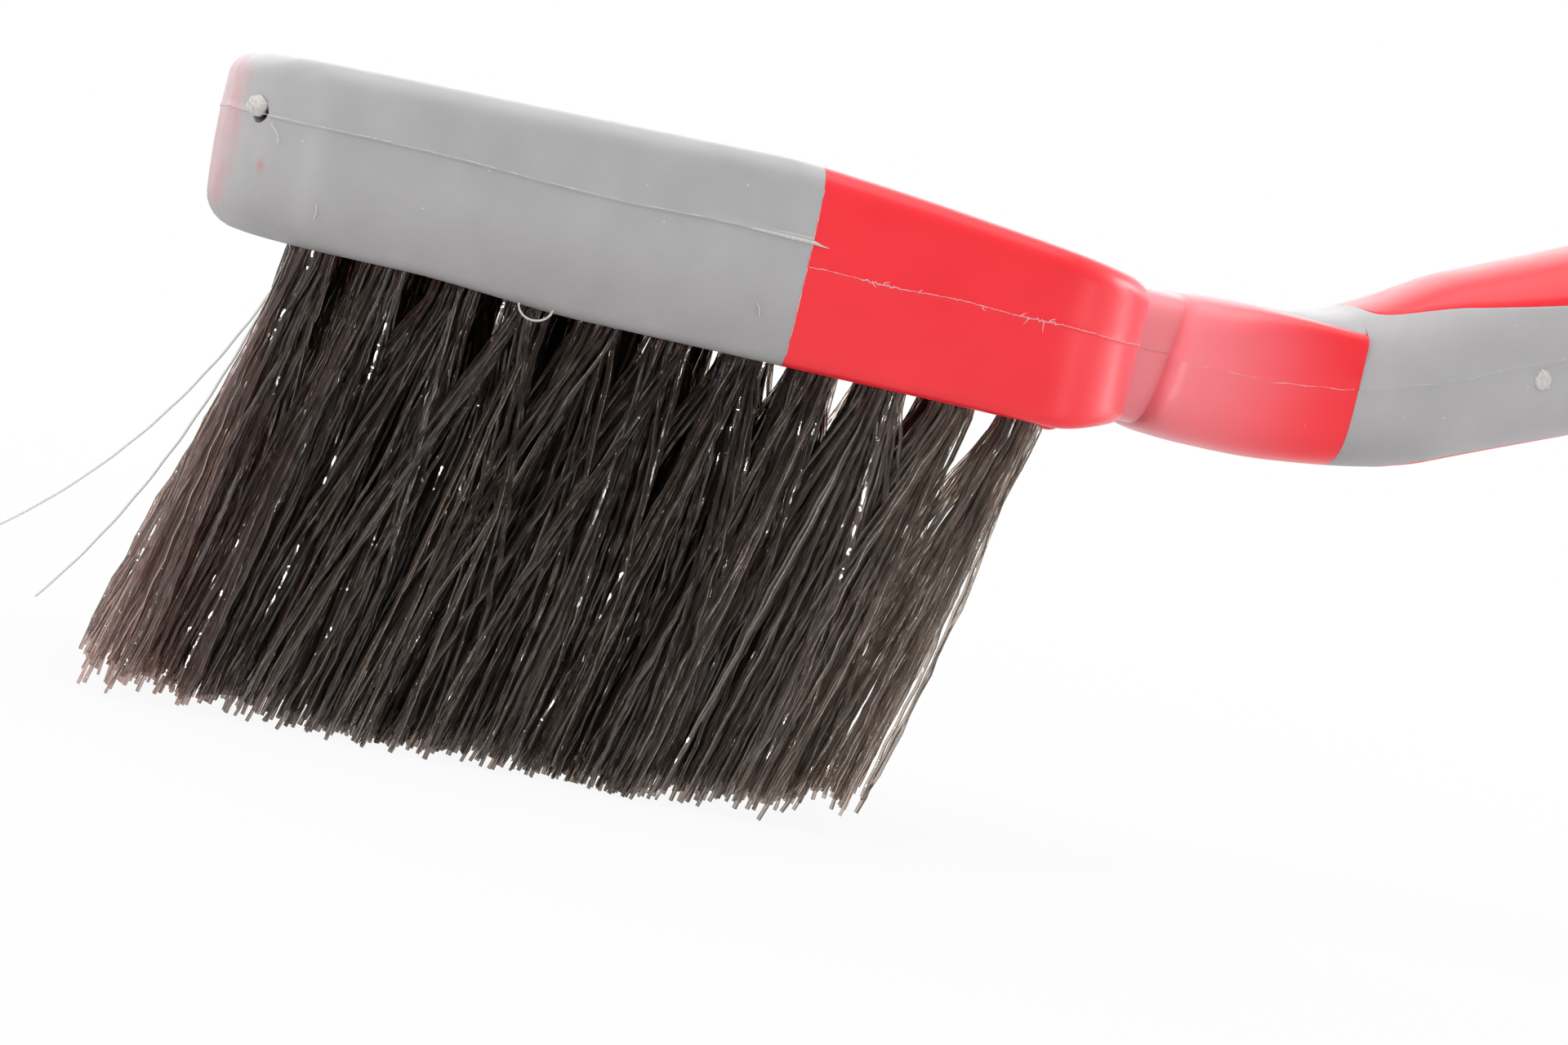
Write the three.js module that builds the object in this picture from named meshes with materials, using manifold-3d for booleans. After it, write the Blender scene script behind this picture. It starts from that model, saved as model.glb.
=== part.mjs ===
import * as THREE from 'three';
import { mergeVertices } from 'three/addons/utils/BufferGeometryUtils.js';
import Module from 'manifold-3d';

// Hand brush with an overmoulded head and handle, in millimetres, +Z up.
// While it is built, X runs from the toe to the handle's end and the bristles stand on Z = 0.

const wasm = await Module();
wasm.setup();

// Gap between seated neighbours
const fit = 0.3;

// Head block
const headLength = 97.5;
const headWidth = 46;
const toeRun = 9.5;
const toeSquareness = 2.5;
const heelRun = 15.5;
const heelSquareness = 2.2;
const toeThickness = 18.9;
const crestThickness = 20.6;
const crestAt = 54;
const waistThickness = 16.6;
const backDroop = 1.35;
const heelLift = 1.4;
const heelLiftRun = 6;
const heelLiftEdge = 5;
const topFillet = 2.2;
const bottomFillet = 1.2;

// Soft bumper: a cap over the toe, the sides and the back of the front of the head
const bumperLength = 57.5;
const bumperWall = 2;

// Tufts: rows across the head, each staggered against the next
const rowCount = 4;
const rowStagger = [0, 0.5, 1, 0.5];
const sideWall = 0.65;
const toeEdge = 0.5;
const heelEdge = 1;
const tuftPitch = 7.3;
const tuftRadius = 1.65;
const setDepth = 10;

// Bristles: strands that lean to the toe, spread and end on a slightly crowned trim
const bristleLength = 46;
const lean = THREE.MathUtils.degToRad(11.6);
const fan = 1.2;
const ringStrands = 7;
const strandRadius = 0.55;
const strandGap = 0.4;
const strandBow = 0.6;
const rootBite = 1;
const trimCut = 0.5;
const toeTrim = 2.6;
const heelTrim = 4.6;
const trimPower = 3;

// Flat wire anchors across the tuft folds
const anchorThickness = 0.45;
const anchorLength = 5.2;
const anchorHeight = 2;
const sliceWall = 0.35;

// Centre line of neck and handle: level, bend up, straight rise, bend back, level end
const neckLift = 9.7;
const neckRun = 12.5;
const bendRadius = 60;
const riseAngle = THREE.MathUtils.degToRad(23);
const riseRun = 38;
const levelRadius = 110;
const levelRun = 58;
const endRound = 9;

// Sections of neck and handle: half widths, and heights above and below the centre line
const waistHalf = 7.5;
const waistUp = 6.9;
const waistDown = 7.8;
const waistGroove = 4;
const neckHalf = 10.3;
const neckUp = 7.7;
const neckDown = 8.7;
const neckSwell = 5;
const gripHalf = 11;
const gripUp = 10.4;
const gripDown = 9.2;
const crownLead = 5;
const crownRun = 16;
const palmHalf = 12.6;
const palmUp = 10.9;
const palmDown = 9.6;
const endHalf = 11;
const endUp = 5.2;
const endDown = 5.2;
const sectionSquareness = 2.7;

// Soft grip: a sleeve over the handle, open above and below where the core's panel comes through
const gripSetback = 25.3;
const gripWall = 2;
const gripEndGap = 30;
const panelStart = 4;
const panelStop = 8;
const panelHalf = 7;

// Hanging hole through the bare end of the handle
const hangInset = 14;
const hangLength = 12;
const hangWidth = 8;

// Mesh steps
const toeSteps = 7;
const backSteps = 4;
const heelSteps = 7;
const sectionSides = 20;
const sweepStep = 6.5;
const endSteps = 4;
const reach = 60;

const red = new THREE.MeshStandardMaterial({ color: 0xd92632, roughness: 0.38, metalness: 0 });
const grey = new THREE.MeshStandardMaterial({ color: 0xa3a1a4, roughness: 0.55, metalness: 0 });
const filament = new THREE.MeshStandardMaterial({ color: 0x2e2a26, roughness: 0.35, metalness: 0 });
const steel = new THREE.MeshStandardMaterial({ color: 0xb4b6b8, roughness: 0.35, metalness: 1 });

// Closed skin over rings of points; point i of a ring faces point n - 1 - i across the end caps
function skin(rings) {
  const n = rings[0].length;
  const index = [];
  for (let r = 0; r + 1 < rings.length; r++) {
    for (let i = 0; i < n; i++) {
      const a = r * n + i;
      const b = r * n + (i + 1) % n;
      index.push(a, b, b + n, a, b + n, a + n);
    }
  }
  const last = (rings.length - 1) * n;
  for (let i = 0; i + 1 < n / 2; i++) {
    const [a, b, c, d] = [i, i + 1, n - 2 - i, n - 1 - i];
    index.push(a, d, c, a, c, b);
    index.push(last + a, last + b, last + c, last + a, last + c, last + d);
  }
  const geometry = new THREE.BufferGeometry().setFromPoints(rings.flat());
  geometry.setIndex(index);
  return geometry;
}

function volume(position, index) {
  const [a, b, c] = [new THREE.Vector3(), new THREE.Vector3(), new THREE.Vector3()];
  let sum = 0;
  for (let i = 0; i < index.count; i += 3) {
    a.fromBufferAttribute(position, index.getX(i));
    b.fromBufferAttribute(position, index.getX(i + 1));
    c.fromBufferAttribute(position, index.getX(i + 2));
    sum += a.dot(b.cross(c));
  }
  return sum / 6;
}

// Geometry to solid, turned outside out where its faces point in
function solid(geometry) {
  const bare = geometry.clone();
  bare.deleteAttribute('normal');
  bare.deleteAttribute('uv');
  const merged = mergeVertices(bare, 1e-5);
  const triVerts = Uint32Array.from(merged.index.array);
  if (volume(merged.attributes.position, merged.index) < 0) triVerts.reverse();
  const vertProperties = Float32Array.from(merged.attributes.position.array);
  return new wasm.Manifold(new wasm.Mesh({ numProp: 3, vertProperties, triVerts }));
}

function piece(name, shape, material) {
  const { vertProperties, triVerts } = shape.getMesh();
  const geometry = new THREE.BufferGeometry();
  geometry.setAttribute('position', new THREE.BufferAttribute(Float32Array.from(vertProperties), 3));
  geometry.setIndex(new THREE.BufferAttribute(Uint32Array.from(triVerts), 1));
  geometry.computeVertexNormals();
  const mesh = new THREE.Mesh(geometry, material);
  mesh.name = name;
  return mesh;
}

function box(from, to) {
  const size = to.map((v, i) => v - from[i]);
  const centre = to.map((v, i) => (v + from[i]) / 2);
  return solid(new THREE.BoxGeometry(...size).translate(...centre));
}

// Upright prism with round ends along X
function stadium(fromX, toX, y, half, fromZ, toZ) {
  const shape = new THREE.Shape();
  shape.absarc(toX - half, 0, half, -Math.PI / 2, Math.PI / 2, false);
  shape.absarc(fromX + half, 0, half, Math.PI / 2, 1.5 * Math.PI, false);
  const options = { depth: toZ - fromZ, bevelEnabled: false, curveSegments: 5 };
  return solid(new THREE.ExtrudeGeometry(shape, options).translate(0, y, fromZ));
}

// Head block

function backHeight(x) {
  if (x < crestAt) return toeThickness + (crestThickness - toeThickness) * x / crestAt;
  const drop = ((x - crestAt) / (headLength - crestAt)) ** backDroop;
  return crestThickness - (crestThickness - waistThickness) * drop;
}

// Half of the head's plan, from toe to waist, drawn in by an inset
function halfPlan(inset) {
  const half = headWidth / 2 - inset;
  const waist = waistHalf - inset;
  const heelStart = headLength - heelRun;
  const points = [];
  for (let i = 0; i < toeSteps; i++) {
    const a = (i + 0.5) / toeSteps * Math.PI / 2;
    const x = toeRun - (toeRun - inset) * Math.cos(a) ** (2 / toeSquareness);
    points.push([x, half * Math.sin(a) ** (2 / toeSquareness)]);
  }
  points.push([crestAt, half]);
  for (let i = 1; i <= backSteps; i++) {
    points.push([crestAt + (heelStart - crestAt) * i / backSteps, half]);
  }
  for (let i = 1; i <= heelSteps; i++) {
    const b = i / heelSteps * Math.PI / 2;
    const x = heelStart + heelRun * Math.sin(b) ** (2 / heelSquareness);
    points.push([x, waist + (half - waist) * Math.max(Math.cos(b), 0) ** (2 / heelSquareness)]);
  }
  return points;
}

// The underside steps up a little behind the last tufts
function undersideHeight(x) {
  const stepEnd = headLength - heelLiftEdge;
  return bristleLength + heelLift * THREE.MathUtils.smoothstep(x, stepEnd - heelLiftRun, stepEnd);
}

function planRing(inset, heightAt) {
  const half = halfPlan(inset);
  const near = half.map(([x, y]) => new THREE.Vector3(x, -y, heightAt(x)));
  const far = half.map(([x, y]) => new THREE.Vector3(x, y, heightAt(x))).reverse();
  return [...near, ...far];
}

function headBlock() {
  const soft = topFillet * (1 - Math.SQRT1_2);
  const top = drop => x => bristleLength + backHeight(x) - drop;
  return solid(skin([
    planRing(bottomFillet, undersideHeight),
    planRing(0, x => undersideHeight(x) + bottomFillet),
    planRing(0, top(topFillet)),
    planRing(soft, top(soft)),
    planRing(topFillet, top(0)),
  ]));
}

// The head from Z = 0 up, drawn in from its sides and its back by an inset
function headPrism(inset) {
  const top = x => bristleLength + backHeight(x) - inset;
  return solid(skin([planRing(inset, () => 0), planRing(inset, top)]));
}

function bumperZone(gap) {
  return box([-reach, -reach, 0], [bumperLength + gap, reach, bristleLength + reach]);
}

// Neck and handle

const bendRun = bendRadius * riseAngle;
const backRun = levelRadius * riseAngle;
const handleRun = neckRun + bendRun + riseRun + backRun + levelRun;

// Point and slope of the centre line at a distance from the waist
function spineAt(s) {
  const bend = THREE.MathUtils.clamp(s - neckRun, 0, bendRun) / bendRadius;
  const rise = THREE.MathUtils.clamp(s - neckRun - bendRun, 0, riseRun);
  const back = THREE.MathUtils.clamp(s - neckRun - bendRun - riseRun, 0, backRun) / levelRadius;
  const level = Math.min(s, neckRun) + Math.max(s - neckRun - bendRun - riseRun - backRun, 0);
  const turnBack = [
    Math.sin(riseAngle) - Math.sin(riseAngle - back),
    Math.cos(riseAngle - back) - Math.cos(riseAngle),
  ];
  const x = level + bendRadius * Math.sin(bend) + rise * Math.cos(riseAngle) + levelRadius * turnBack[0];
  const z = bendRadius * (1 - Math.cos(bend)) + rise * Math.sin(riseAngle) + levelRadius * turnBack[1];
  return { x: headLength + x, z: bristleLength + neckLift + z, slope: bend - back };
}

const handleEnd = spineAt(handleRun).x;
const gripStart = headLength + gripSetback;
const gripEnd = handleEnd - gripEndGap;
const gripFrom = neckRun + bendRadius * Math.asin((gripSetback - neckRun) / bendRadius);

// Stations along the centre line: distance, half width, height above, depth below
const stations = [
  [0, waistHalf, waistUp, waistDown],
  [waistGroove, waistHalf, waistUp, waistDown],
  [waistGroove + neckSwell, neckHalf, neckUp, neckDown],
  [gripFrom - crownLead, neckHalf, neckUp, neckDown],
  [gripFrom - crownLead + crownRun, gripHalf, gripUp, gripDown],
  [neckRun + bendRun + riseRun, palmHalf, palmUp, palmDown],
  [handleRun - endRound, endHalf, endUp, endDown],
];

function sectionAt(s) {
  const next = stations.findIndex(([at]) => at > s);
  if (next === 0) return stations[0].slice(1);
  if (next < 0) return stations.at(-1).slice(1);
  const [from, to] = [stations[next - 1], stations[next]];
  const t = THREE.MathUtils.smoothstep(s, from[0], to[0]);
  return from.slice(1).map((v, i) => THREE.MathUtils.lerp(v, to[i + 1], t));
}

function sectionRing(s, inset, scale) {
  const [half, up, down] = sectionAt(s).map(v => (v - inset) * scale);
  const { x, z, slope } = spineAt(s);
  const blunt = v => Math.sign(v) * Math.abs(v) ** (2 / sectionSquareness);
  return Array.from({ length: sectionSides }, (_, i) => {
    const a = (i + 0.5) / sectionSides * 2 * Math.PI;
    const rise = blunt(Math.sin(a)) * (Math.sin(a) > 0 ? up : down);
    return new THREE.Vector3(
      x - rise * Math.sin(slope),
      half * blunt(Math.cos(a)),
      z + rise * Math.cos(slope),
    );
  });
}

// Neck and handle from inside the head to the rounded end, drawn in by an inset
function handleBar(inset) {
  const straight = handleRun - endRound;
  const marks = stations.map(([at]) => at);
  const rings = [sectionRing(-heelRun / 2, inset, 1)];
  for (let i = 0; i + 1 < marks.length; i++) {
    const steps = Math.max(Math.round((marks[i + 1] - marks[i]) / sweepStep), 2);
    for (let k = 0; k < steps; k++) {
      rings.push(sectionRing(THREE.MathUtils.lerp(marks[i], marks[i + 1], k / steps), inset, 1));
    }
  }
  for (let i = 0; i < endSteps; i++) {
    const a = i / endSteps * Math.PI / 2;
    rings.push(sectionRing(straight + (endRound - inset) * Math.sin(a), inset, Math.cos(a)));
  }
  return solid(skin(rings));
}

function gripZone(gap) {
  return box([gripStart - gap, -reach, 0], [gripEnd + gap, reach, bristleLength + 2 * reach]);
}

// Long panel of the core that shows through the grip, above and below
function panelPrism(gap) {
  const from = gripStart + panelStart - gap;
  const to = gripEnd - panelStop + gap;
  return stadium(from, to, 0, panelHalf + gap, 0, bristleLength + 2 * reach);
}

function hangHole() {
  const centre = handleEnd - hangInset;
  const top = bristleLength + 2 * reach;
  return stadium(centre - hangLength / 2, centre + hangLength / 2, 0, hangWidth / 2, 0, top);
}

// Tufts

const sliceHalf = anchorLength / 2 + fit + sliceWall;
const rowSpan = headWidth / 2 - bumperWall - fit - sideWall - fit - sliceHalf;
const rowPitch = 2 * rowSpan / (rowCount - 1);
const firstTuft = toeRun + toeEdge;
const lastTuft = headLength - heelRun + heelEdge;
const tuftMiddle = (firstTuft + lastTuft) / 2;

const rows = Array.from({ length: rowCount }, (_, k) => {
  const start = firstTuft + rowStagger[k % rowStagger.length] * tuftPitch;
  const count = Math.floor((lastTuft - start) / tuftPitch + 1e-6) + 1;
  const xs = Array.from({ length: count }, (_, i) => start + i * tuftPitch);
  return { y: k * rowPitch - rowSpan, xs };
});

const anchorShift = setDepth * Math.tan(lean);

// Slot or slice of the head along one row, grown by a gap
function rowSlice({ y, xs }, gap, bottom) {
  const from = xs[0] - tuftPitch / 2 - gap;
  const to = xs.at(-1) + anchorShift + tuftPitch / 2 - tuftRadius + gap;
  return stadium(from, to, y, sliceHalf + gap, bottom, bristleLength + setDepth + gap);
}

// How far along the trim a tuft stands: -1 at the toe, 1 at the heel
function trimShare(x) {
  return (x - tuftMiddle) / (lastTuft - tuftMiddle);
}

function strandEnd(x) {
  const share = trimShare(x);
  const rise = (share < 0 ? toeTrim : heelTrim) * Math.abs(share) ** trimPower;
  return Math.max(rise - trimCut, 0);
}

// Closed skin over three-sided rings
function prism(rings) {
  const index = [];
  for (let r = 0; r + 1 < rings.length; r++) {
    for (let i = 0; i < 3; i++) {
      const a = r * 3 + i;
      const b = r * 3 + (i + 1) % 3;
      index.push(a, b, b + 3, a, b + 3, a + 3);
    }
  }
  const last = (rings.length - 1) * 3;
  index.push(0, 2, 1, last, last + 1, last + 2);
  const geometry = new THREE.BufferGeometry().setFromPoints(rings.flat());
  geometry.setIndex(index);
  return geometry;
}

// One three-sided strand from its root in the slice to its trimmed end
function strand(x, y, dx, dy, ringAngle) {
  const end = strandEnd(x);
  const drop = 1 - end / bristleLength;
  const spreadX = tuftPitch / 2 - strandRadius - strandGap;
  const spreadY = rowPitch / 2 - strandRadius - strandGap;
  const tip = {
    x: x + dx * spreadX + (fan * trimShare(x) - bristleLength * Math.tan(lean)) * drop,
    y: y + dy * spreadY,
  };
  const root = { x: x + dx * tuftRadius, y: y + dy * tuftRadius };
  const middle = { x: (root.x + tip.x) / 2 + strandBow, y: (root.y + tip.y) / 2 };
  const heights = [bristleLength + rootBite, (bristleLength + end) / 2, end];
  const rings = [root, middle, tip].map((at, r) => [0, 1, 2].map(i => {
    const a = ringAngle + i * 2 * Math.PI / 3;
    return new THREE.Vector3(
      at.x + strandRadius * Math.cos(a),
      at.y + strandRadius * Math.sin(a),
      heights[r],
    );
  }));
  return solid(prism(rings));
}

function tuft(x, y) {
  const strands = [strand(x, y, 0, 0, 0)];
  for (let i = 0; i < ringStrands; i++) {
    const a = (i + 0.5) * 2 * Math.PI / ringStrands;
    strands.push(strand(x, y, Math.cos(a), Math.sin(a), a));
  }
  return strands;
}

function anchorBox(x, y, gap) {
  const top = bristleLength + setDepth;
  const at = x + anchorShift;
  const [dx, dy] = [anchorThickness / 2 + gap, anchorLength / 2 + gap];
  return box([at - dx, y - dy, top - anchorHeight - gap], [at + dx, y + dy, top + gap]);
}

// A slice of the head with its row of tufts and a pocket for each anchor
function bristleRow(row) {
  let shape = rowSlice(row, 0, bristleLength);
  for (const x of row.xs) {
    shape = shape.subtract(anchorBox(x, row.y, fit));
    for (const one of tuft(x, row.y)) shape = shape.add(one);
  }
  return shape;
}

// Assembly

const bar = handleBar(0);
const block = headBlock();

let core = block.subtract(bumperZone(fit).subtract(headPrism(bumperWall + fit)));
for (const row of rows) core = core.subtract(rowSlice(row, fit, 0));
const tang = handleBar(gripWall + fit).intersect(gripZone(2 * fit));
core = core.add(bar.subtract(gripZone(fit))).add(tang).add(bar.intersect(panelPrism(0)));
core = core.subtract(hangHole());

const bumper = block.intersect(bumperZone(0)).subtract(headPrism(bumperWall));
const grip = bar.intersect(gripZone(0)).subtract(handleBar(gripWall)).subtract(panelPrism(fit));

const brush = new THREE.Group();
brush.add(piece('core_body', core, red));
brush.add(piece('head_bumper', bumper, grey));
brush.add(piece('handle_grip', grip, grey));
let anchorCount = 0;
rows.forEach((row, k) => {
  brush.add(piece(`bristle_row_${k + 1}`, bristleRow(row), filament));
  for (const x of row.xs) {
    anchorCount += 1;
    const name = `tuft_anchor_${String(anchorCount).padStart(2, '0')}`;
    brush.add(piece(name, anchorBox(x, row.y, 0), steel));
  }
});

// The origin is under the middle of the whole brush
const bounds = new THREE.Box3().setFromObject(brush);
brush.position.x = -(bounds.min.x + bounds.max.x) / 2;

export default brush;
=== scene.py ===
import math

import bmesh
import bpy
import numpy as np
from mathutils import Matrix, Vector
from mathutils.geometry import delaunay_2d_cdt


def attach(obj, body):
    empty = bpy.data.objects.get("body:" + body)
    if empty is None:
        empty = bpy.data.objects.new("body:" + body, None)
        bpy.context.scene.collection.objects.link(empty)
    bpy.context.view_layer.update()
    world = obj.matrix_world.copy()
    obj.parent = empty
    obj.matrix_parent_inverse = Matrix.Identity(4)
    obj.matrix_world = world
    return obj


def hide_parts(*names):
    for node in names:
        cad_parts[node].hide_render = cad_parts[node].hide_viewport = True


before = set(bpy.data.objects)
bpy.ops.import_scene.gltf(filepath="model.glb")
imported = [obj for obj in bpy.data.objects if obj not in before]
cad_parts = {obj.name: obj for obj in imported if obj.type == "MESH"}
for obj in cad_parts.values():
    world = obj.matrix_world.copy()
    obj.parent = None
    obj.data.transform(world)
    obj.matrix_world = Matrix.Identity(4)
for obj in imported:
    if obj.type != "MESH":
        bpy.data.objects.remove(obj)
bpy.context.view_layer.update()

# All shapes are worked out in millimetres, with X from the toe along the brush,
# the near side at -Y and the bristles standing on Z = 0.
MM = 0.001
TOE_X = -132.656
MIRROR = np.array([1, -1, 1])

# Head block
BLOCK = 46.0
HEAD_LENGTH = 97.5
HEAD_HALF = 23.0
TOE_RUN = 9.5
TOE_REACH = 0.85
TOE_POWER = 2 / 2.5
HEEL_RUN = 15.5
HEEL_POWER = 2 / 2.2
TOE_THICK = 18.9
CREST_THICK = 20.6
CREST_AT = 54.0
WAIST_THICK = 16.6
BACK_DROOP = 1.35
TOE_LIFT = 0.9
TOE_LIFT_FROM = 37.0
TOE_LIFT_TO = 18.0
HEEL_LIFT = 1.9
HEEL_LIFT_FROM = 86.6
HEEL_LIFT_TO = HEAD_LENGTH
TOP_FILLET = 2.2
BOTTOM_FILLET = 1.2
WALL_CROWN = 0.55
WALL_CROWN_ENDS = (74.0, 90.0)

# Soft bumper
BUMPER_LENGTH = 57.5
BUMPER_WALL = 2.0
TOE_FILLET = 3.2
TOE_FILLET_ENDS = (0.5, 14.0)
TOE_DRAFT = 0.8
EDGE_ROLL = 0.06

# Heights of the moulding lines on the bumper and on the core's head, with how far they wander
BUMPER_LINE, BUMPER_WANDER = 12.8, 0.25
HEAD_LINE, HEAD_WANDER = 10.4, 0.12
LINE_MARGIN = 0.5
ABOVE_LINE = 0.7

# How far the moulding lines stand out
BUMPER_LIP, END_LIP = 0.09, 0.12
HEAD_LIP = 0.03
BAR_LIP = 0.07

# Neck and handle
WAIST_HALF, WAIST_UP, WAIST_DOWN = 7.5, 6.9, 7.8
NECK_HALF, NECK_UP, NECK_DOWN = 10.3, 7.7, 8.7
GRIP_HALF, GRIP_UP, GRIP_DOWN = 11.0, 10.4, 9.2
PALM_HALF, PALM_UP, PALM_DOWN = 12.6, 10.9, 9.6
END_HALF, END_UP, END_DOWN = 11.0, 5.2, 5.2
NECK_LIFT = 9.7
NECK_RUN = 12.5
BEND_RADIUS = 60.0
RISE = math.radians(23)
RISE_RUN = 38.0
LEVEL_RADIUS = 110.0
LEVEL_RUN = 58.0
END_ROUND = 9.0
GROOVE_END = 102.0
GROOVE_SWELL = 6.0
GROOVE_LEAN = 1.1
GROOVE_LEAN_STARTS = (97.0, 99.0)
GROOVE_LEAN_ENDS = (105.0, 116.0)
NECK_TOP_AT = 105.8
NECK_TOP_LIFT = 0.1
NECK_TOP_FALL = 0.027

# Powers of the section's rounded squares and the stretches over which one turns into the next
NECK_SQUARE = 4.0
NECK_TOP_SQUARE = 11.0
GRIP_SQUARE = 3.6
END_SQUARE = 2.7
CROWN_SQUARE = 2.3
CROWN_TURN = (112.0, 129.0)
GRIP_TURN = (118.0, 135.0)
END_TURN = (190.0, 245.0)
NECK_TOP_TURN = (106.0, 120.0)

# Soft grip, its front lip over the neck, its openings and the hang hole
GRIP_START = 122.8
GRIP_END_GAP = 30.0
GRIP_WALL = 2.0
SEAM_ROLL = 0.05
LAP_FROM, LAP_DEPTH = 111.0, 1.0
LAP_NARROWING, LAP_WIDENS = 1.6, (112.0, 121.0)
CROWN_LEAD = 5.0
CROWN_RUN = 16.0
CROWN_START = 0.4
CROWN_LOW = 0.45
CROWN_FRONT_RUN, CROWN_REAR_RUN = 28.0, 18.0
PANEL_START = 4.0
PANEL_STOP = 8.0
PANEL_HALF = 7.0
HANG_INSET = 14.0
HANG_LENGTH = 12.0
HANG_HALF = 4.0

# Tufts
ROW_Y = (-17.2, -5.73, 5.73, 17.2)
ROW_START = (9.0, 12.4, 15.8, 19.2)
ROW_COUNT = (11, 10, 10, 10)
ROW_PITCH = (7.54, 7.4, 7.4, 7.4)
HOLE_RADIUS = 2.75
HOLE_DEPTH = 6.0
HOLE_SIDES = 22
HOLE_MARGIN = 0.1
LEAN = math.tan(math.radians(11.6))
FIELD_FROM = -3.8
FIELD_TO = 76.8
TOE_TRIM = 1.9
HEEL_TRIM = 3.5
TRIM_FROM = 9.0
TRIM_TO = 83.5
TRIM_LIMIT = 1.05

random = np.random.default_rng(41)


# Small helpers

def ease(value, low, high):
    t = np.clip((np.asarray(value, float) - low) / (high - low), 0, 1)
    return t * t * (3 - 2 * t)


def to_frame(points):
    moved = np.array(points, float)
    moved[..., 0] += TOE_X
    return moved * MM


def ripple(u, seed, lengths):
    """Smooth irregular wave between about -1 and 1 along u."""
    phases = np.random.default_rng(seed).uniform(0, 2 * math.pi, len(lengths))
    waves = [np.sin(2 * math.pi * u / length + p) for length, p in zip(lengths, phases)]
    return sum(waves) / math.sqrt(len(lengths))


def rolled(distance, radius):
    """How far a rounded edge of that radius has dropped at a distance from its end."""
    left = np.clip(radius - np.asarray(distance, float), 0, radius)
    return radius - np.sqrt(radius ** 2 - left ** 2)


def grid_quads(index):
    """Quads between neighbouring rows and columns of a table of vertex numbers."""
    corners = [index[:-1, :-1], index[:-1, 1:], index[1:, 1:], index[1:, :-1]]
    return np.stack(corners, -1).reshape(-1, 4)


def numbered(table, first=0):
    """Vertex numbers of a table of points, row by row from the first."""
    return first + np.arange(table.shape[0] * table.shape[1]).reshape(table.shape[:2])


def build_mesh(name, points, groups):
    """Mesh from points in millimetres and arrays of faces, one array for each number of corners."""
    mesh = bpy.data.meshes.new(name)
    mesh.vertices.add(len(points))
    mesh.vertices.foreach_set("co", to_frame(points).astype(np.float32).ravel())
    loops = np.concatenate([g.ravel() for g in groups]).astype(np.int32)
    sizes = np.concatenate([np.full(len(g), g.shape[1]) for g in groups])
    starts = np.concatenate([[0], np.cumsum(sizes)[:-1]]).astype(np.int32)
    mesh.loops.add(len(loops))
    mesh.loops.foreach_set("vertex_index", loops)
    mesh.polygons.add(len(sizes))
    mesh.polygons.foreach_set("loop_start", starts)
    mesh.polygons.foreach_set("use_smooth", np.ones(len(sizes), bool))
    mesh.update(calc_edges=True)
    return mesh


def weld(mesh, distance=0.002):
    """Joins points that coincide, drops empty faces and turns all faces outwards."""
    work = bmesh.new()
    work.from_mesh(mesh)
    bmesh.ops.remove_doubles(work, verts=work.verts, dist=distance * MM)
    bmesh.ops.dissolve_degenerate(work, edges=work.edges, dist=distance * MM)
    loose = [v for v in work.verts if not v.link_faces]
    bmesh.ops.delete(work, geom=loose, context="VERTS")
    bmesh.ops.recalc_face_normals(work, faces=work.faces)
    for face in work.faces:
        face.smooth = True
    work.to_mesh(mesh)
    work.free()
    return mesh


def add_object(name, data):
    made = bpy.data.objects.new(name, data)
    bpy.context.scene.collection.objects.link(made)
    return made


def place(name, mesh, material, nodes=(), sharp=38):
    """A piece of the brush, with creases at edges sharper than an angle and the CAD nodes it replaces."""
    mesh.set_sharp_from_angle(angle=math.radians(sharp))
    mesh.materials.clear()
    mesh.materials.append(material)
    piece = add_object(name, mesh)
    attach(piece, "root")
    if nodes:
        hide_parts(*nodes)


def baked(mesh, kind, **settings):
    """The mesh after a modifier of that kind."""
    carrier = add_object("carrier", mesh)
    modifier = carrier.modifiers.new(kind, kind)
    for key, value in settings.items():
        setattr(modifier, key, value)
    graph = bpy.context.evaluated_depsgraph_get()
    result = bpy.data.meshes.new_from_object(carrier.evaluated_get(graph))
    bpy.data.objects.remove(carrier)
    bpy.data.meshes.remove(mesh)
    return result


def wall_inwards(mesh, thickness):
    return baked(mesh, "SOLIDIFY", thickness=thickness * MM, offset=-1.0, use_quality_normals=True)


def cut(mesh, cutter_mesh):
    """The mesh with the cutter's solid taken away."""
    cutter = add_object("cutter", cutter_mesh)
    result = baked(mesh, "BOOLEAN", operation="DIFFERENCE", solver="EXACT", object=cutter)
    bpy.data.objects.remove(cutter)
    bpy.data.meshes.remove(cutter_mesh)
    return result


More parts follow.
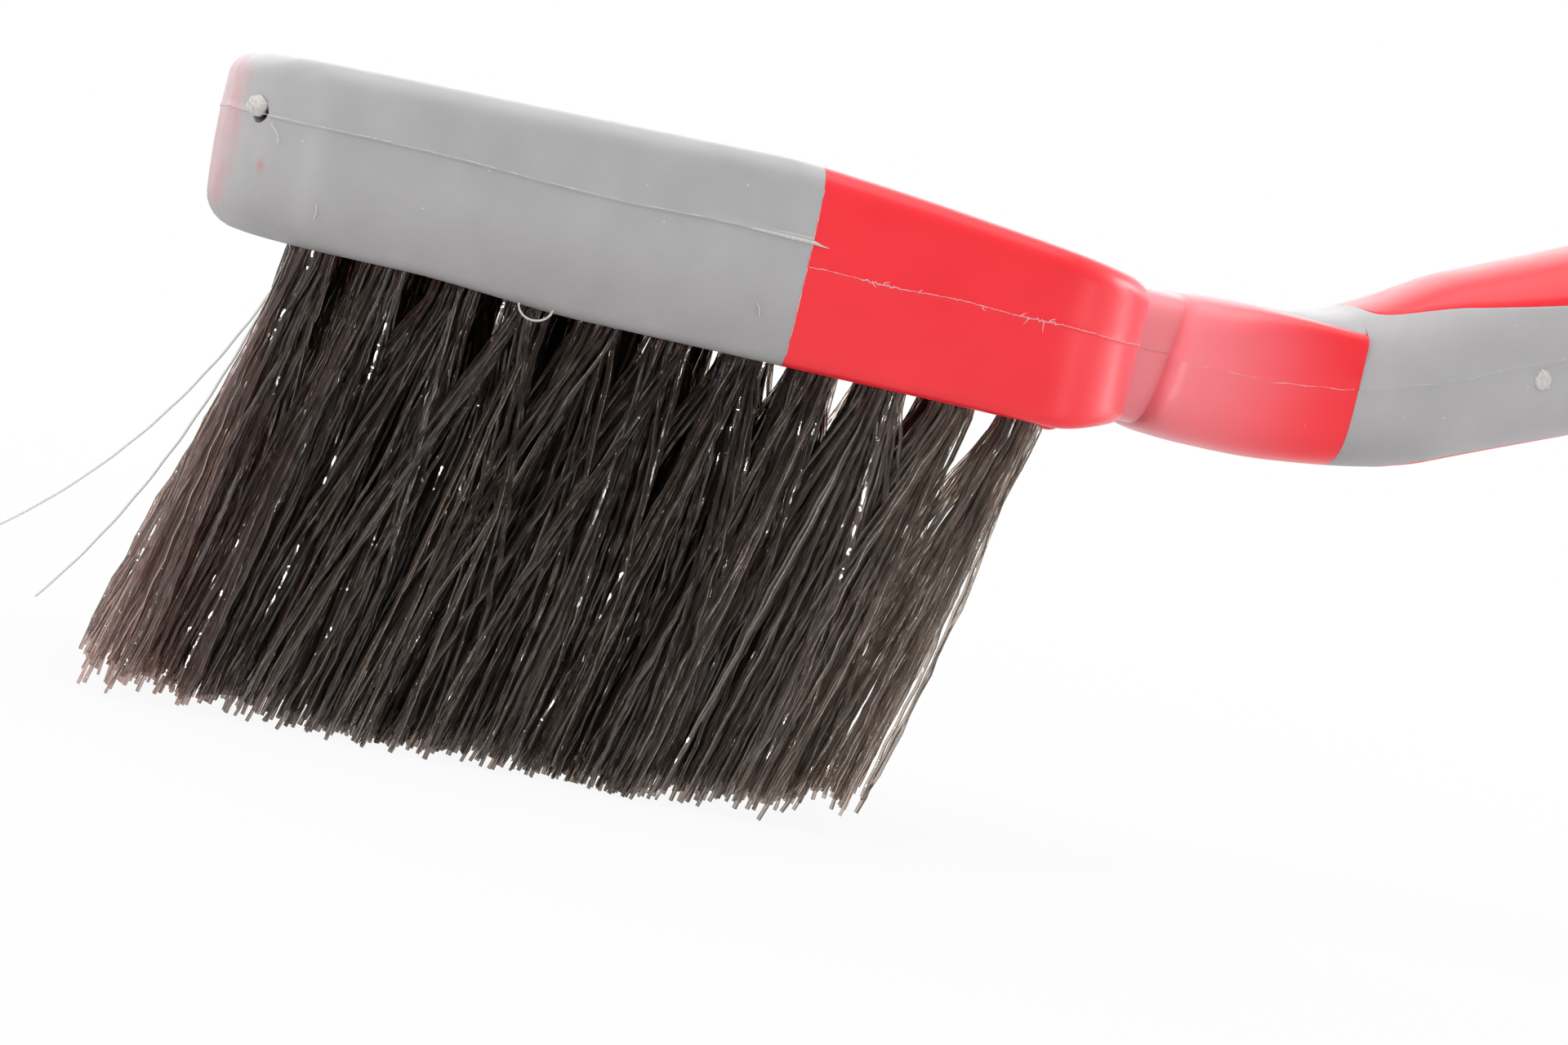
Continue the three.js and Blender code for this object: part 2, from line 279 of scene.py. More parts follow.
def tube_skin(paths, radii, sides, turns=0.0, flatness=1.0):
    """Closed skins along a stack of paths: points, side quads and end caps.

    The section is an oval, that many times wider than it is thick, turned about the path.
    """
    count, steps, _ = paths.shape
    along = np.gradient(paths, axis=1)
    along /= np.linalg.norm(along, axis=2, keepdims=True)
    side = np.cross(along, np.array([0.0, 1.0, 0.0]))
    side /= np.linalg.norm(side, axis=2, keepdims=True)
    other = np.cross(along, side)
    turns = np.broadcast_to(turns, count)[:, None, None]
    side, other = side * np.cos(turns) + other * np.sin(turns), other * np.cos(turns) - side * np.sin(turns)
    round_turn = np.arange(sides) * 2 * math.pi / sides
    wide = np.cos(round_turn)[:, None] * math.sqrt(flatness)
    thick = np.sin(round_turn)[:, None] / math.sqrt(flatness)
    ring = wide * side[:, :, None] + thick * other[:, :, None]
    points = paths[:, :, None] + radii[:, :, None, None] * ring
    index = np.arange(count * steps * sides).reshape(count, steps, sides)
    after = np.roll(index, -1, axis=2)
    corners = [index[:, :-1], after[:, :-1], after[:, 1:], index[:, 1:]]
    quads = np.stack(corners, -1).reshape(-1, 4)
    caps = np.concatenate([index[:, 0, ::-1], index[:, -1]])
    return points.reshape(-1, 3), quads, caps


def tube_mesh(name, tubes, sides):
    """One mesh of several tubes, each a path and its radius or radii."""
    points, quads, caps, offset = [], [], [], 0
    for path, radius in tubes:
        path = np.asarray(path, float)[None]
        radii = np.broadcast_to(np.asarray(radius, float), path.shape[1:2])[None]
        p, q, c = tube_skin(path, radii, sides)
        points.append(p)
        quads.append(q + offset)
        caps.append(c + offset)
        offset += len(p)
    return build_mesh(name, np.concatenate(points), [np.concatenate(quads), np.concatenate(caps)])


def bezier(a, b, c, steps):
    t = np.linspace(0, 1, steps)[:, None]
    a, b, c = (np.array(p, float) for p in (a, b, c))
    return (1 - t) ** 2 * a + 2 * t * (1 - t) * b + t ** 2 * c


# Materials

def add_node(tree, kind, links=(), **settings):
    """A shader node with its settings, each of its named inputs given as a socket or a value."""
    made = tree.nodes.new(kind)
    for key, value in settings.items():
        setattr(made, key, value)
    for key, value in dict(links).items():
        if isinstance(value, bpy.types.NodeSocket):
            tree.links.new(value, made.inputs[key])
        else:
            made.inputs[key].default_value = value
    return made


def map_range(tree, value, limits, results, kind="LINEAR"):
    """A map of a socket between two limits to two results, each a number or a socket."""
    names = ("From Min", "From Max", "To Min", "To Max")
    links = {"Value": value, **dict(zip(names, (*limits, *results)))}
    return add_node(tree, "ShaderNodeMapRange", links, interpolation_type=kind).outputs[0]


class Paint:
    """A node material around one Principled shader, with textures in the frame's own space."""

    def __init__(self, name, color, **values):
        self.material = bpy.data.materials.new(name)
        self.material.use_nodes = True
        self.material.diffuse_color = (*color, 1)
        self.tree = self.material.node_tree
        self.shader = self.tree.nodes["Principled BSDF"]
        self.shader.inputs["Base Color"].default_value = (*color, 1)
        for key, value in values.items():
            self.shader.inputs[key.replace("_", " ")].default_value = value
        self.coords = self.node("ShaderNodeTexCoord").outputs["Object"]

    def node(self, kind, links=(), **settings):
        return add_node(self.tree, kind, links, **settings)

    def noise(self, size, detail=2.0, rough=0.5, stretch=None):
        """Noise with features of about that size in millimetres."""
        vector = self.coords
        if stretch:
            vector = self.node("ShaderNodeMapping", {"Vector": vector, "Scale": stretch}).outputs[0]
        links = {"Vector": vector, "Scale": 1 / (size * MM), "Detail": detail, "Roughness": rough}
        return self.node("ShaderNodeTexNoise", links).outputs["Fac"]

    def ramp(self, value, low, high, to_low=0.0, to_high=1.0, smooth=False):
        kind = "SMOOTHSTEP" if smooth else "LINEAR"
        return map_range(self.tree, value, (low, high), (to_low, to_high), kind)

    def math(self, operation, a, b):
        return self.node("ShaderNodeMath", {0: a, 1: b}, operation=operation).outputs[0]

    def mix(self, share, a, b):
        a, b = (c if isinstance(c, bpy.types.NodeSocket) else (*c, 1) for c in (a, b))
        return self.node("ShaderNodeMix", {0: share, 6: a, 7: b}, data_type="RGBA").outputs[2]

    def near(self, point, radius):
        """1 at a point in millimetres, falling to 0 at the radius."""
        links = {0: self.coords, 1: tuple(to_frame(point))}
        away = self.node("ShaderNodeVectorMath", links, operation="DISTANCE").outputs["Value"]
        return self.ramp(away, 0.0, radius * MM, 1.0, 0.0, smooth=True)

    def axis(self, name):
        return self.node("ShaderNodeSeparateXYZ", {0: self.coords}).outputs[name]

    def specks(self, spacing, size, share):
        """Sparse small dots: 1 inside a dot."""
        links = {"Vector": self.coords, "Scale": 1 / (spacing * MM)}
        cells = self.node("ShaderNodeTexVoronoi", links)
        dot = self.ramp(cells.outputs["Distance"], 0.5 * size / spacing, size / spacing, 1.0, 0.0)
        pick = self.node("ShaderNodeSeparateColor", {0: cells.outputs["Color"]}).outputs[0]
        return self.math("MULTIPLY", dot, self.math("LESS_THAN", pick, share))

    def color(self, socket):
        self.tree.links.new(socket, self.shader.inputs["Base Color"])

    def roughness(self, socket):
        self.tree.links.new(socket, self.shader.inputs["Roughness"])

    def bump(self, *layers):
        """Bump from heights, each with its depth in millimetres."""
        normal = None
        for height, depth in layers:
            links = {"Height": height, "Distance": depth * MM, "Strength": 1.0}
            if normal is not None:
                links["Normal"] = normal
            normal = self.node("ShaderNodeBump", links).outputs[0]
        self.tree.links.new(normal, self.shader.inputs["Normal"])


def red_plastic():
    paint = Paint("red_plastic", (0.91, 0.022, 0.036), IOR=1.49, Subsurface_Weight=0.12,
                  Subsurface_Radius=(1.0, 0.12, 0.1), Subsurface_Scale=0.002)
    cloud = paint.noise(14, 3)
    tone = paint.mix(paint.ramp(cloud, 0.3, 0.7), (0.87, 0.018, 0.031), (0.94, 0.026, 0.042))
    # Painted glare: about the waist the red is paled towards pink, a painted highlight standing in for a
    # haze of light there.
    waist = paint.near((HEAD_LENGTH + 0.5, 0, BLOCK + 10), 27)
    painted_waist_glare = paint.math("MULTIPLY", waist, paint.ramp(cloud, 0.2, 0.8, 0.73, 0.83))
    tone = paint.mix(painted_waist_glare, tone, (0.95, 0.46, 0.52))
    dust = paint.specks(2.6, 0.11, 0.35)
    paint.color(paint.mix(paint.math("MULTIPLY", dust, 0.35), tone, (0.9, 0.5, 0.5)))
    streak = paint.noise(2.4, 4, 0.6, (0.25, 1, 1))
    paint.roughness(paint.ramp(streak, 0.25, 0.75, 0.29, 0.38))
    paint.bump((paint.noise(5, 2), 0.05), (paint.noise(0.35, 3), 0.006))
    return paint.material


def grey_soft_plastic():
    paint = Paint("grey_soft_plastic", (0.42, 0.411, 0.418), IOR=1.48, Subsurface_Weight=0.25,
                  Subsurface_Radius=(1.0, 0.75, 0.75), Subsurface_Scale=0.0015)
    cloud = paint.noise(11, 3, 0.55)
    tone = paint.mix(paint.ramp(cloud, 0.3, 0.7), (0.39, 0.381, 0.388), (0.45, 0.442, 0.449))
    # Painted shade: the grey is darkened, in uneven patches, towards the bottom of the head, where less
    # light falls.
    painted_low_shade = paint.ramp(paint.axis("Z"), BLOCK * MM, (BLOCK + 10) * MM, 0.5, 0.0, smooth=True)
    uneven = paint.math("MULTIPLY", painted_low_shade, paint.ramp(paint.noise(4, 4, 0.6), 0.3, 0.7, 0.75, 1.0))
    tone = paint.mix(uneven, tone, (0.235, 0.215, 0.215))
    # Painted glow: the grey at the very toe is tinted pink in patches, standing in for light coming through
    # the thin edge from the red core.
    front = paint.ramp(paint.axis("X"), (TOE_X - 0.3) * MM, (TOE_X + 0.9) * MM, 0.6, 0.0, smooth=True)
    patchy_toe_glow = paint.math("MULTIPLY", front, paint.ramp(paint.noise(7, 2), 0.35, 0.6, 0.35, 1.0))
    tone = paint.mix(patchy_toe_glow, tone, (0.62, 0.19, 0.23))
    scuff = paint.math("MULTIPLY", paint.near((2.3, -18.3, 53.8), 1.2), 0.5)
    tone = paint.mix(scuff, tone, (0.55, 0.12, 0.16))
    # Painted shade: a dark brown spot over the gate's pit.
    gate_pit_shade = paint.near((2.2, -15.6, 58.7), 1.4)
    tone = paint.mix(gate_pit_shade, tone, (0.07, 0.03, 0.025))
    dust = paint.specks(2.6, 0.13, 0.4)
    paint.color(paint.mix(paint.math("MULTIPLY", dust, 0.55), tone, (0.78, 0.77, 0.76)))
    paint.roughness(paint.ramp(paint.noise(3, 4, 0.6), 0.25, 0.75, 0.40, 0.54))
    paint.bump((paint.noise(6, 2), 0.06), (paint.noise(0.3, 3), 0.009))
    return paint.material


def torn_plastic(name, dark, light):
    paint = Paint(name, light, IOR=1.48, Subsurface_Weight=0.3, Subsurface_Scale=0.001)
    grain = paint.noise(0.25, 4, 0.7)
    paint.color(paint.mix(paint.ramp(grain, 0.3, 0.7), dark, light))
    paint.roughness(paint.ramp(grain, 0.3, 0.7, 0.45, 0.7))
    paint.bump((grain, 0.08))
    return paint.material


def filament(name, dark, light, wax, reflected_red, heel_sheen_tone, clear):
    paint = Paint(name, light, IOR=1.53, Transmission_Weight=clear)
    island = paint.node("ShaderNodeNewGeometry").outputs["Random Per Island"]
    tone = paint.mix(island, dark, light)
    along = paint.axis("X")
    # Painted reflection: filaments towards the toe are tinted with red reflected from the core.
    toe = paint.ramp(along, (TOE_X - 3) * MM, (TOE_X + 16) * MM, 0.65, 0.0, smooth=True)
    # Painted sheen: filaments towards the heel are paled, standing in for their highlights and lit edges.
    heel = paint.ramp(along, (TOE_X + 50) * MM, (TOE_X + 80) * MM, 0.0, 0.85, smooth=True)
    tone = paint.mix(heel, paint.mix(toe, tone, reflected_red), heel_sheen_tone)
    smear = paint.noise(1.6, 3, 0.6, (1, 1, 0.3))
    paint.color(paint.mix(paint.ramp(smear, 0.35, 0.75, 0.0, 0.6), tone, wax))
    paint.roughness(paint.ramp(smear, 0.3, 0.7, 0.05, 0.13))
    paint.bump((paint.noise(0.22, 2, 0.5, (1, 1, 0.2)), 0.012))
    return paint.material


def anchor_steel():
    paint = Paint("anchor_steel", (0.46, 0.46, 0.47), Metallic=1.0)
    drawn = paint.noise(0.2, 3, 0.6, (1, 0.05, 1))
    paint.color(paint.mix(drawn, (0.36, 0.36, 0.37), (0.56, 0.56, 0.57)))
    paint.roughness(paint.ramp(drawn, 0.3, 0.7, 0.25, 0.42))
    paint.bump((drawn, 0.01))
    return paint.material


RED = red_plastic()
GREY = grey_soft_plastic()
TORN = torn_plastic("torn_plastic", (0.46, 0.44, 0.41), (0.74, 0.72, 0.69))
# Pale pink flash, also used for the painted highlight along the bumper's end.
PINK = torn_plastic("flash_and_highlight_plastic", (0.84, 0.30, 0.32), (0.93, 0.58, 0.58))
DARK = filament("dark_filament", (0.12, 0.09, 0.075), (0.42, 0.33, 0.28), (0.2, 0.17, 0.15),
                (0.82, 0.57, 0.52), (0.74, 0.64, 0.56), 0.93)
# Painted light: a pale, lit copy of the filament material for the loose filaments, which are the same
# filaments strongly lit.
LIT_FILAMENT_COPY = filament("filament_painted_lit", (0.80, 0.78, 0.75), (0.88, 0.87, 0.85), (0.78, 0.77, 0.75),
                (0.84, 0.82, 0.80), (0.84, 0.82, 0.80), 0.1)
STEEL = anchor_steel()
for name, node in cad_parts.items():
    if name.startswith("tuft_anchor"):
        node.data.materials.clear()
        node.data.materials.append(STEEL)


# Plan of the head

def back_height(x):
    rising = TOE_THICK + (CREST_THICK - TOE_THICK) * x / CREST_AT
    behind = np.clip((x - CREST_AT) / (HEAD_LENGTH - CREST_AT), 0, 1)
    falling = CREST_THICK - (CREST_THICK - WAIST_THICK) * behind ** BACK_DROOP
    return BLOCK + np.where(x < CREST_AT, rising, falling)


def under_height(x):
    toe = TOE_LIFT * (1 - ease(x, TOE_LIFT_TO, TOE_LIFT_FROM))
    return BLOCK + toe + HEEL_LIFT * ease(x, HEEL_LIFT_FROM, HEEL_LIFT_TO)


def wall_crown(x, z):
    """How far the head's slightly barrelled wall falls back at a height; flat at the heel."""
    up = np.clip((z - BLOCK) / (back_height(x) - BLOCK), 0, 1)
    return WALL_CROWN * (2 * up - 1) ** 2 * (1 - ease(x, *WALL_CROWN_ENDS))


class Plan:
    """Half of the head's plan from the middle of the toe to the waist, by distance along it."""

    def __init__(self, steps=900):
        a = np.linspace(0, math.pi / 2, steps)
        heel_start = HEAD_LENGTH - HEEL_RUN
        toe_x = TOE_RUN - (TOE_RUN + TOE_REACH) * np.maximum(np.cos(a), 0) ** TOE_POWER
        toe = np.stack([toe_x, HEAD_HALF * np.sin(a) ** TOE_POWER], -1)
        side_x = np.linspace(TOE_RUN, heel_start, steps)[1:]
        side = np.stack([side_x, np.full(steps - 1, HEAD_HALF)], -1)
        drop = (HEAD_HALF - WAIST_HALF) * np.maximum(np.cos(a), 0) ** HEEL_POWER
        heel = np.stack([heel_start + HEEL_RUN * np.sin(a) ** HEEL_POWER, WAIST_HALF + drop], -1)[1:]
        self.points = np.concatenate([toe, side, heel])
        step = np.linalg.norm(np.diff(self.points, axis=0), axis=1)
        self.along = np.concatenate([[0], np.cumsum(step)])
        tangent = np.gradient(self.points, self.along, axis=0)
        tangent /= np.linalg.norm(tangent, axis=1, keepdims=True)
        self.normals = np.stack([-tangent[:, 1], tangent[:, 0]], -1)
        self.length = self.along[-1]
        self.bumper_end = float(np.interp(BUMPER_LENGTH, side_x, self.along[steps:2 * steps - 1]))

    def at(self, distance):
        def read(table):
            return np.stack([np.interp(distance, self.along, table[:, k]) for k in (0, 1)], -1)
        normal = read(self.normals)
        return read(self.points), normal / np.linalg.norm(normal, axis=1, keepdims=True)


plan = Plan()


def both_sides(half):
    """Columns of a half-plan table of points, mirrored to run from the near end round to the far end."""
    near = half[:, ::-1] * MIRROR
    return np.concatenate([near, half], axis=1)


def bridge(rim_near, rim_far, columns):
    """Rows of points straight across from near to far; the first row keeps to its two ends."""
    share = np.linspace(0, 1, columns + 1)
    rows = np.repeat(share[None], len(rim_near), 0)
    rows[0] = np.round(share)
    return rim_near[:, None] * (1 - rows[..., None]) + rim_far[:, None] * rows[..., None]


def skin_over(half, first=0, columns=14):
    """Walls on both sides of a half-plan table with a face across its last row.

    Gives the points, the faces and the vertices round the open end, numbered from the first.
    """
    walls = both_sides(half)
    top = bridge(half[-1] * MIRROR, half[-1], columns)
    index = numbered(walls, first)
    lid = numbered(top, index[-1, -1] + 1)
    points = np.concatenate([walls.reshape(-1, 3), top.reshape(-1, 3)])
    open_end = np.concatenate([index[:, 0], lid[-1, 1:-1], index[::-1, -1]])
    return points, [grid_quads(index), grid_quads(lid)], open_end


def ridge_rows(middle, height):
    """Heights and stand-outs of a moulding line: a thin lip with a crisp lower edge."""
    return [(middle - 0.2, 0.0), (middle - 0.14, height),
            (middle + 0.04, 0.95 * height), (middle + 0.24, 0.0)]


def arc(steps):
    return np.linspace(0, math.pi / 2, steps + 1)


def bumper_line(distance):
    return BLOCK + BUMPER_LINE + BUMPER_WANDER * ripple(distance, 3, (70, 37))


def head_line(x):
    return BLOCK + HEAD_LINE + HEAD_WANDER * ripple(x, 21, (31, 13))


def wall_rows(row, at, normal, heights, shares, line, lip, sunk):
    """Lays rows up a wall of the head, over its moulding line and round its top edge.

    The heights are those of the wall's lower and upper ends. The row function takes an inset and a height.
    """
    low, high = heights
    flat = np.zeros(len(at))
    for share in shares:
        row(flat, low + share * (line - LINE_MARGIN - low))
    for z, out in ridge_rows(line, lip):
        row(flat - out, z)
    for share in (0.0, 0.5, 0.85):
        row(flat, line + ABOVE_LINE + share * (high - line - ABOVE_LINE))
    for a in arc(7):
        inset = flat + TOP_FILLET * (1 - math.cos(a))
        inner = (at - inset[:, None] * normal)[:, 0]
        row(inset, back_height(inner) - sunk - TOP_FILLET * (1 - math.sin(a)))


# Soft bumper: a cap over the toe, the sides and the back of the front of the head

def bumper_wall(x):
    """Width of the bumper's lower edge, which is rounder and wider at the toe."""
    return BUMPER_WALL + (TOE_FILLET - BOTTOM_FILLET) * (1 - ease(x, *TOE_FILLET_ENDS))


def bumper_mesh():
    inner = np.arange(0.35, plan.bumper_end - EDGE_ROLL, 0.7)
    edge = plan.bumper_end - EDGE_ROLL * (1 - np.array([0, 0.3, 0.55, 0.75, 0.9, 1.0]))
    distance = np.concatenate([inner, edge])
    at, normal = plan.at(distance)
    roll = rolled(plan.bumper_end - distance, EDGE_ROLL)
    toe = np.clip(-normal[:, 0], 0, 1)
    low_fillet = bumper_wall(at[:, 0]) - BUMPER_WALL + BOTTOM_FILLET
    lip = BUMPER_LIP + 0.03 * ripple(distance, 5, (23, 9, 4.1)) + END_LIP * ease(at[:, 0], 40, 57)
    lip = np.maximum(lip, 0.03) * (1 - ease(roll, 0, EDGE_ROLL))
    rows = []

    def row(inset, z):
        drawn_in = TOE_DRAFT * toe * (1 - np.clip((z - BLOCK) / TOE_THICK, 0, 1))
        spot = at - (inset + roll + wall_crown(at[:, 0], z) + drawn_in)[:, None] * normal
        rows.append(np.column_stack([spot, z]))

    wall = bumper_wall(at[:, 0])
    base = under_height(at[:, 0])
    row(wall, base + roll)
    for a in arc(6):
        row(low_fillet * (1 - math.sin(a)), base + roll + low_fillet * (1 - math.cos(a)))
    top = back_height(at[:, 0])
    ends = (base + low_fillet, top - TOP_FILLET)
    wall_rows(row, at, normal, ends, (0.1, 0.4, 0.7, 1.0), bumper_line(distance), lip, roll)
    outer = np.array(rows)
    rows.clear()
    row(wall, base + roll)
    row(wall - roll, base + 3)
    row(wall - roll, top - BUMPER_WALL)
    points, groups, rim = skin_over(outer)
    in_points, in_groups, in_rim = skin_over(np.array(rows), len(points))
    end_face = np.concatenate([rim, in_rim[::-1]])[None]
    groups += in_groups + [end_face]
    return weld(build_mesh("head_bumper_cap", np.concatenate([points, in_points]), groups))


GATE = np.array([1.2, -16.33, 59.2])
PIT_RADII = (1.6, 1.15, 1.35)
STUB_RADII = (1.6, 1.0, 0.85)
TORN_SHARP = 60


def gate_axes():
    """Axes at the torn gate: along the wall, up, and outwards."""
    nearest = np.argmin(np.hypot(plan.points[:, 0] - GATE[0], plan.points[:, 1] + GATE[1]))
    out = np.array([plan.normals[nearest, 0], -plan.normals[nearest, 1], 0.0])
    up = np.array([0.0, 0.0, 1.0])
    return np.stack([np.cross(up, out), up, out])


def lump(name, centre, axes, radii, rough, seed, rings=22, sides=32):
    """An uneven closed blob about a centre, with its radii along three axes."""
    polar = np.linspace(0, math.pi, rings)[:, None]
    around = np.arange(sides) * 2 * math.pi / sides
    level = np.cos(polar) + 0 * around
    ball = np.stack([np.sin(polar) * np.cos(around), np.sin(polar) * np.sin(around), level], -1)
    draw = np.random.default_rng(seed)
    waves = draw.normal(0, 5, (8, 3))
    wobble = np.sin(ball @ waves.T + draw.uniform(0, 2 * math.pi, 8)).sum(-1) / math.sqrt(8)
    points = centre + (ball * radii * (1 + rough * wobble)[..., None]) @ axes
    index = numbered(points)
    index = np.column_stack([index, index[:, 0]])
    return weld(build_mesh(name, points.reshape(-1, 3), [grid_quads(index)]))


axes = gate_axes()
pit = lump("gate_pit", GATE + (0.22, -0.16, -0.2) @ axes, axes, PIT_RADII, 0.08, 11)
place("head_bumper_cap", cut(bumper_mesh(), pit), GREY, ["head_bumper"])
stub = lump("sprue_stub", GATE + (-0.2, 0.26, -0.05) @ axes, axes, STUB_RADII, 0.1, 12)
place("sprue_stub", stub, TORN, sharp=TORN_SHARP)


# Thin flash on the bumper: a thread along its moulding line with a tongue at the end, a curl and loose hairs

THREAD_FROM, THREAD_GAP, THREAD_LIFT = 13.0, 10.0, 0.06
THINNEST = 0.015
TONGUE_FROM, TONGUE_WIDEST, TONGUE_TO = 47.0, 57.0, 59.2
TONGUE_RADIUS, TONGUE_DROOP = 0.2, 0.25
CURL_AT = np.array([31.6, -22.6, 46.5])
CURL_HALF, CURL_BULGE, CURL_DROP = 1.75, 0.15, 1.5
CURL_RADIUS = 0.11
HAIR_RADIUS = 0.05


def line_thread():
    distance = np.arange(THREAD_FROM, plan.bumper_end - THREAD_GAP, 0.5)
    at, out = plan.at(distance)
    spot = (at + 0.1 * out) * np.array([1, -1])
    radius = 0.04 + 0.025 * ripple(at[:, 0], 71, (11, 4.7, 2.1))
    return np.column_stack([spot, bumper_line(distance) + THREAD_LIFT]), np.maximum(radius, THINNEST)


def line_tongue():
    x = np.linspace(TONGUE_FROM, TONGUE_TO, 26)
    z = BLOCK + BUMPER_LINE + 0.05 - TONGUE_DROOP * ease(x, TONGUE_WIDEST, TONGUE_TO + 0.2)
    widening = 0.03 + TONGUE_RADIUS * ease(x, TONGUE_FROM - 1, TONGUE_WIDEST)
    radius = widening - TONGUE_RADIUS * ease(x, TONGUE_WIDEST + 0.3, TONGUE_TO)
    return np.column_stack([x, np.full_like(x, -HEAD_HALF - 0.02), z]), radius


def curl():
    turn = np.linspace(0.02, 0.98, 18) * math.pi
    across, up = np.cos(turn), np.sin(turn)
    return CURL_AT + np.column_stack([-CURL_HALF * across, CURL_BULGE * up, -CURL_DROP * up]), CURL_RADIUS


hairs = [
    bezier((2.6, -19.45, 57.9), (3.5, -20.75, 57.3), (3.5, -20.7, 56.2), 12),
    bezier((53.2, -23.05, 51.7), (53.8, -23.15, 51.2), (53.8, -23.05, 50.4), 10),
    bezier((8.1, -23.0, 51.4), (8.5, -23.1, 50.7), (8.2, -23.0, 49.9), 10),
]
slivers = [line_thread(), line_tongue(), curl()] + [(hair, HAIR_RADIUS) for hair in hairs]
flash = tube_mesh("bumper_flash", slivers, 7)
place("bumper_flash", flash, TORN)


# Head of the core

def tuft_roots():
    """X, Y and the number of its row for each tuft."""
    rows = zip(ROW_Y, ROW_START, ROW_PITCH, ROW_COUNT)
    return [(start + i * pitch, y, number)
            for number, (y, start, pitch, count) in enumerate(rows, 1) for i in range(count)]


def underside(loop):
    """Underside inside a closed loop of points, with a leaning blind hole for each tuft."""
    sides = HOLE_SIDES
    turn = np.arange(sides) * 2 * math.pi / sides
    roots = np.array([(x, y) for x, y, _ in tuft_roots()])
    room = np.linalg.norm(roots[:, None] - loop[:, :2], axis=2).min(1)
    radius = np.minimum(HOLE_RADIUS, room - HOLE_MARGIN)
    rims = roots[:, None] + radius[:, None, None] * np.stack([np.cos(turn), np.sin(turn)], -1)
    corners = [tuple(p) for p in loop[:, :2]]
    edges = [(i, (i + 1) % len(loop)) for i in range(len(loop))]
    for rim in rims:
        first = len(corners)
        corners += [tuple(p) for p in rim]
        edges += [(first + i, first + (i + 1) % sides) for i in range(sides)]
    # Points inside the heel let its lifted stretch curve
    for x in np.arange(HEEL_LIFT_FROM + 2.0, HEAD_LENGTH - 2, 1.0):
        inside = np.interp(x, plan.points[:, 0], plan.points[:, 1]) - 3
        corners += [(x, y) for y in np.arange(-inside, inside, 2.5)]
    flat = delaunay_2d_cdt([Vector(c) for c in corners], edges, [], 1, 1e-5)
    spots = np.array([tuple(v) for v in flat[0]])
    faces = np.array(flat[2])
    centre = spots[faces].mean(1)
    gap = np.linalg.norm(centre[:, None] - roots, axis=2) / radius
    faces = faces[gap.min(1) > 0.98]
    height = under_height(spots[:, 0])
    height[np.linalg.norm(spots[:, None] - loop[:, :2], axis=2).argmin(0)] = loop[:, 2]
    points = [np.column_stack([spots, height])]
    quads, caps, offset = [], [], len(spots)
    for rim in rims:
        edge = np.column_stack([rim, under_height(rim[:, 0])])
        points += [edge, edge + (HOLE_DEPTH * LEAN, 0, HOLE_DEPTH)]
        ring = offset + np.arange(2 * sides).reshape(2, sides)
        quads.append(grid_quads(np.column_stack([ring, ring[:, 0]])))
        caps.append(ring[1])
        offset += 2 * sides
    return np.concatenate(points), [faces, np.concatenate(quads), np.array(caps)]


def head_mesh():
    nose = np.arange(0.6, plan.bumper_end, 1.5)
    distance = np.concatenate([nose, [plan.bumper_end] * 2,
                               np.arange(plan.bumper_end + 0.8, plan.length - 0.3, 0.8), [plan.length]])
    at, normal = plan.at(distance)
    x = at[:, 0]
    inside = np.arange(len(distance)) <= len(nose)
    hidden = np.where(inside, bumper_wall(x) + TOE_DRAFT, 0.0)
    lowered = np.where(inside, BUMPER_WALL + 0.05, 0.0)
    lip = HEAD_LIP + 0.02 * ripple(x, 22, (9, 3.3, 1.7))
    lip = np.maximum(lip, 0.01) * (hidden == 0)
    rows = []

    def row(inset, z):
        depth = np.where(inside, hidden, wall_crown(x, z)) + inset
        rows.append(np.column_stack([at - depth[:, None] * normal, z]))

    for a in arc(5):
        inset = np.where(inside, 0, BOTTOM_FILLET * (1 - math.sin(a)))
        inner = (at - inset[:, None] * normal)[:, 0]
        row(inset, under_height(inner) + BOTTOM_FILLET * (1 - math.cos(a)))
    ends = (under_height(x) + BOTTOM_FILLET, back_height(x) - lowered - TOP_FILLET)
    wall_rows(row, at, normal, ends, (0.1, 0.5, 1.0), head_line(x), lip, lowered)
    half = np.array(rows)
    points, groups, rim = skin_over(half)
    groups.append(rim[None])
    under_points, under_groups = underside(both_sides(half)[0])
    groups += [g + len(points) for g in under_groups]
    return weld(build_mesh("core_head", np.concatenate([points, under_points]), groups))


place("core_head", head_mesh(), RED, ["core_body"])


# Neck and handle

BEND_RUN = BEND_RADIUS * RISE
BACK_RUN = LEVEL_RADIUS * RISE
HANDLE_RUN = NECK_RUN + BEND_RUN + RISE_RUN + BACK_RUN + LEVEL_RUN
GRIP_FROM = NECK_RUN + BEND_RADIUS * math.asin((GRIP_START - HEAD_LENGTH - NECK_RUN) / BEND_RADIUS)


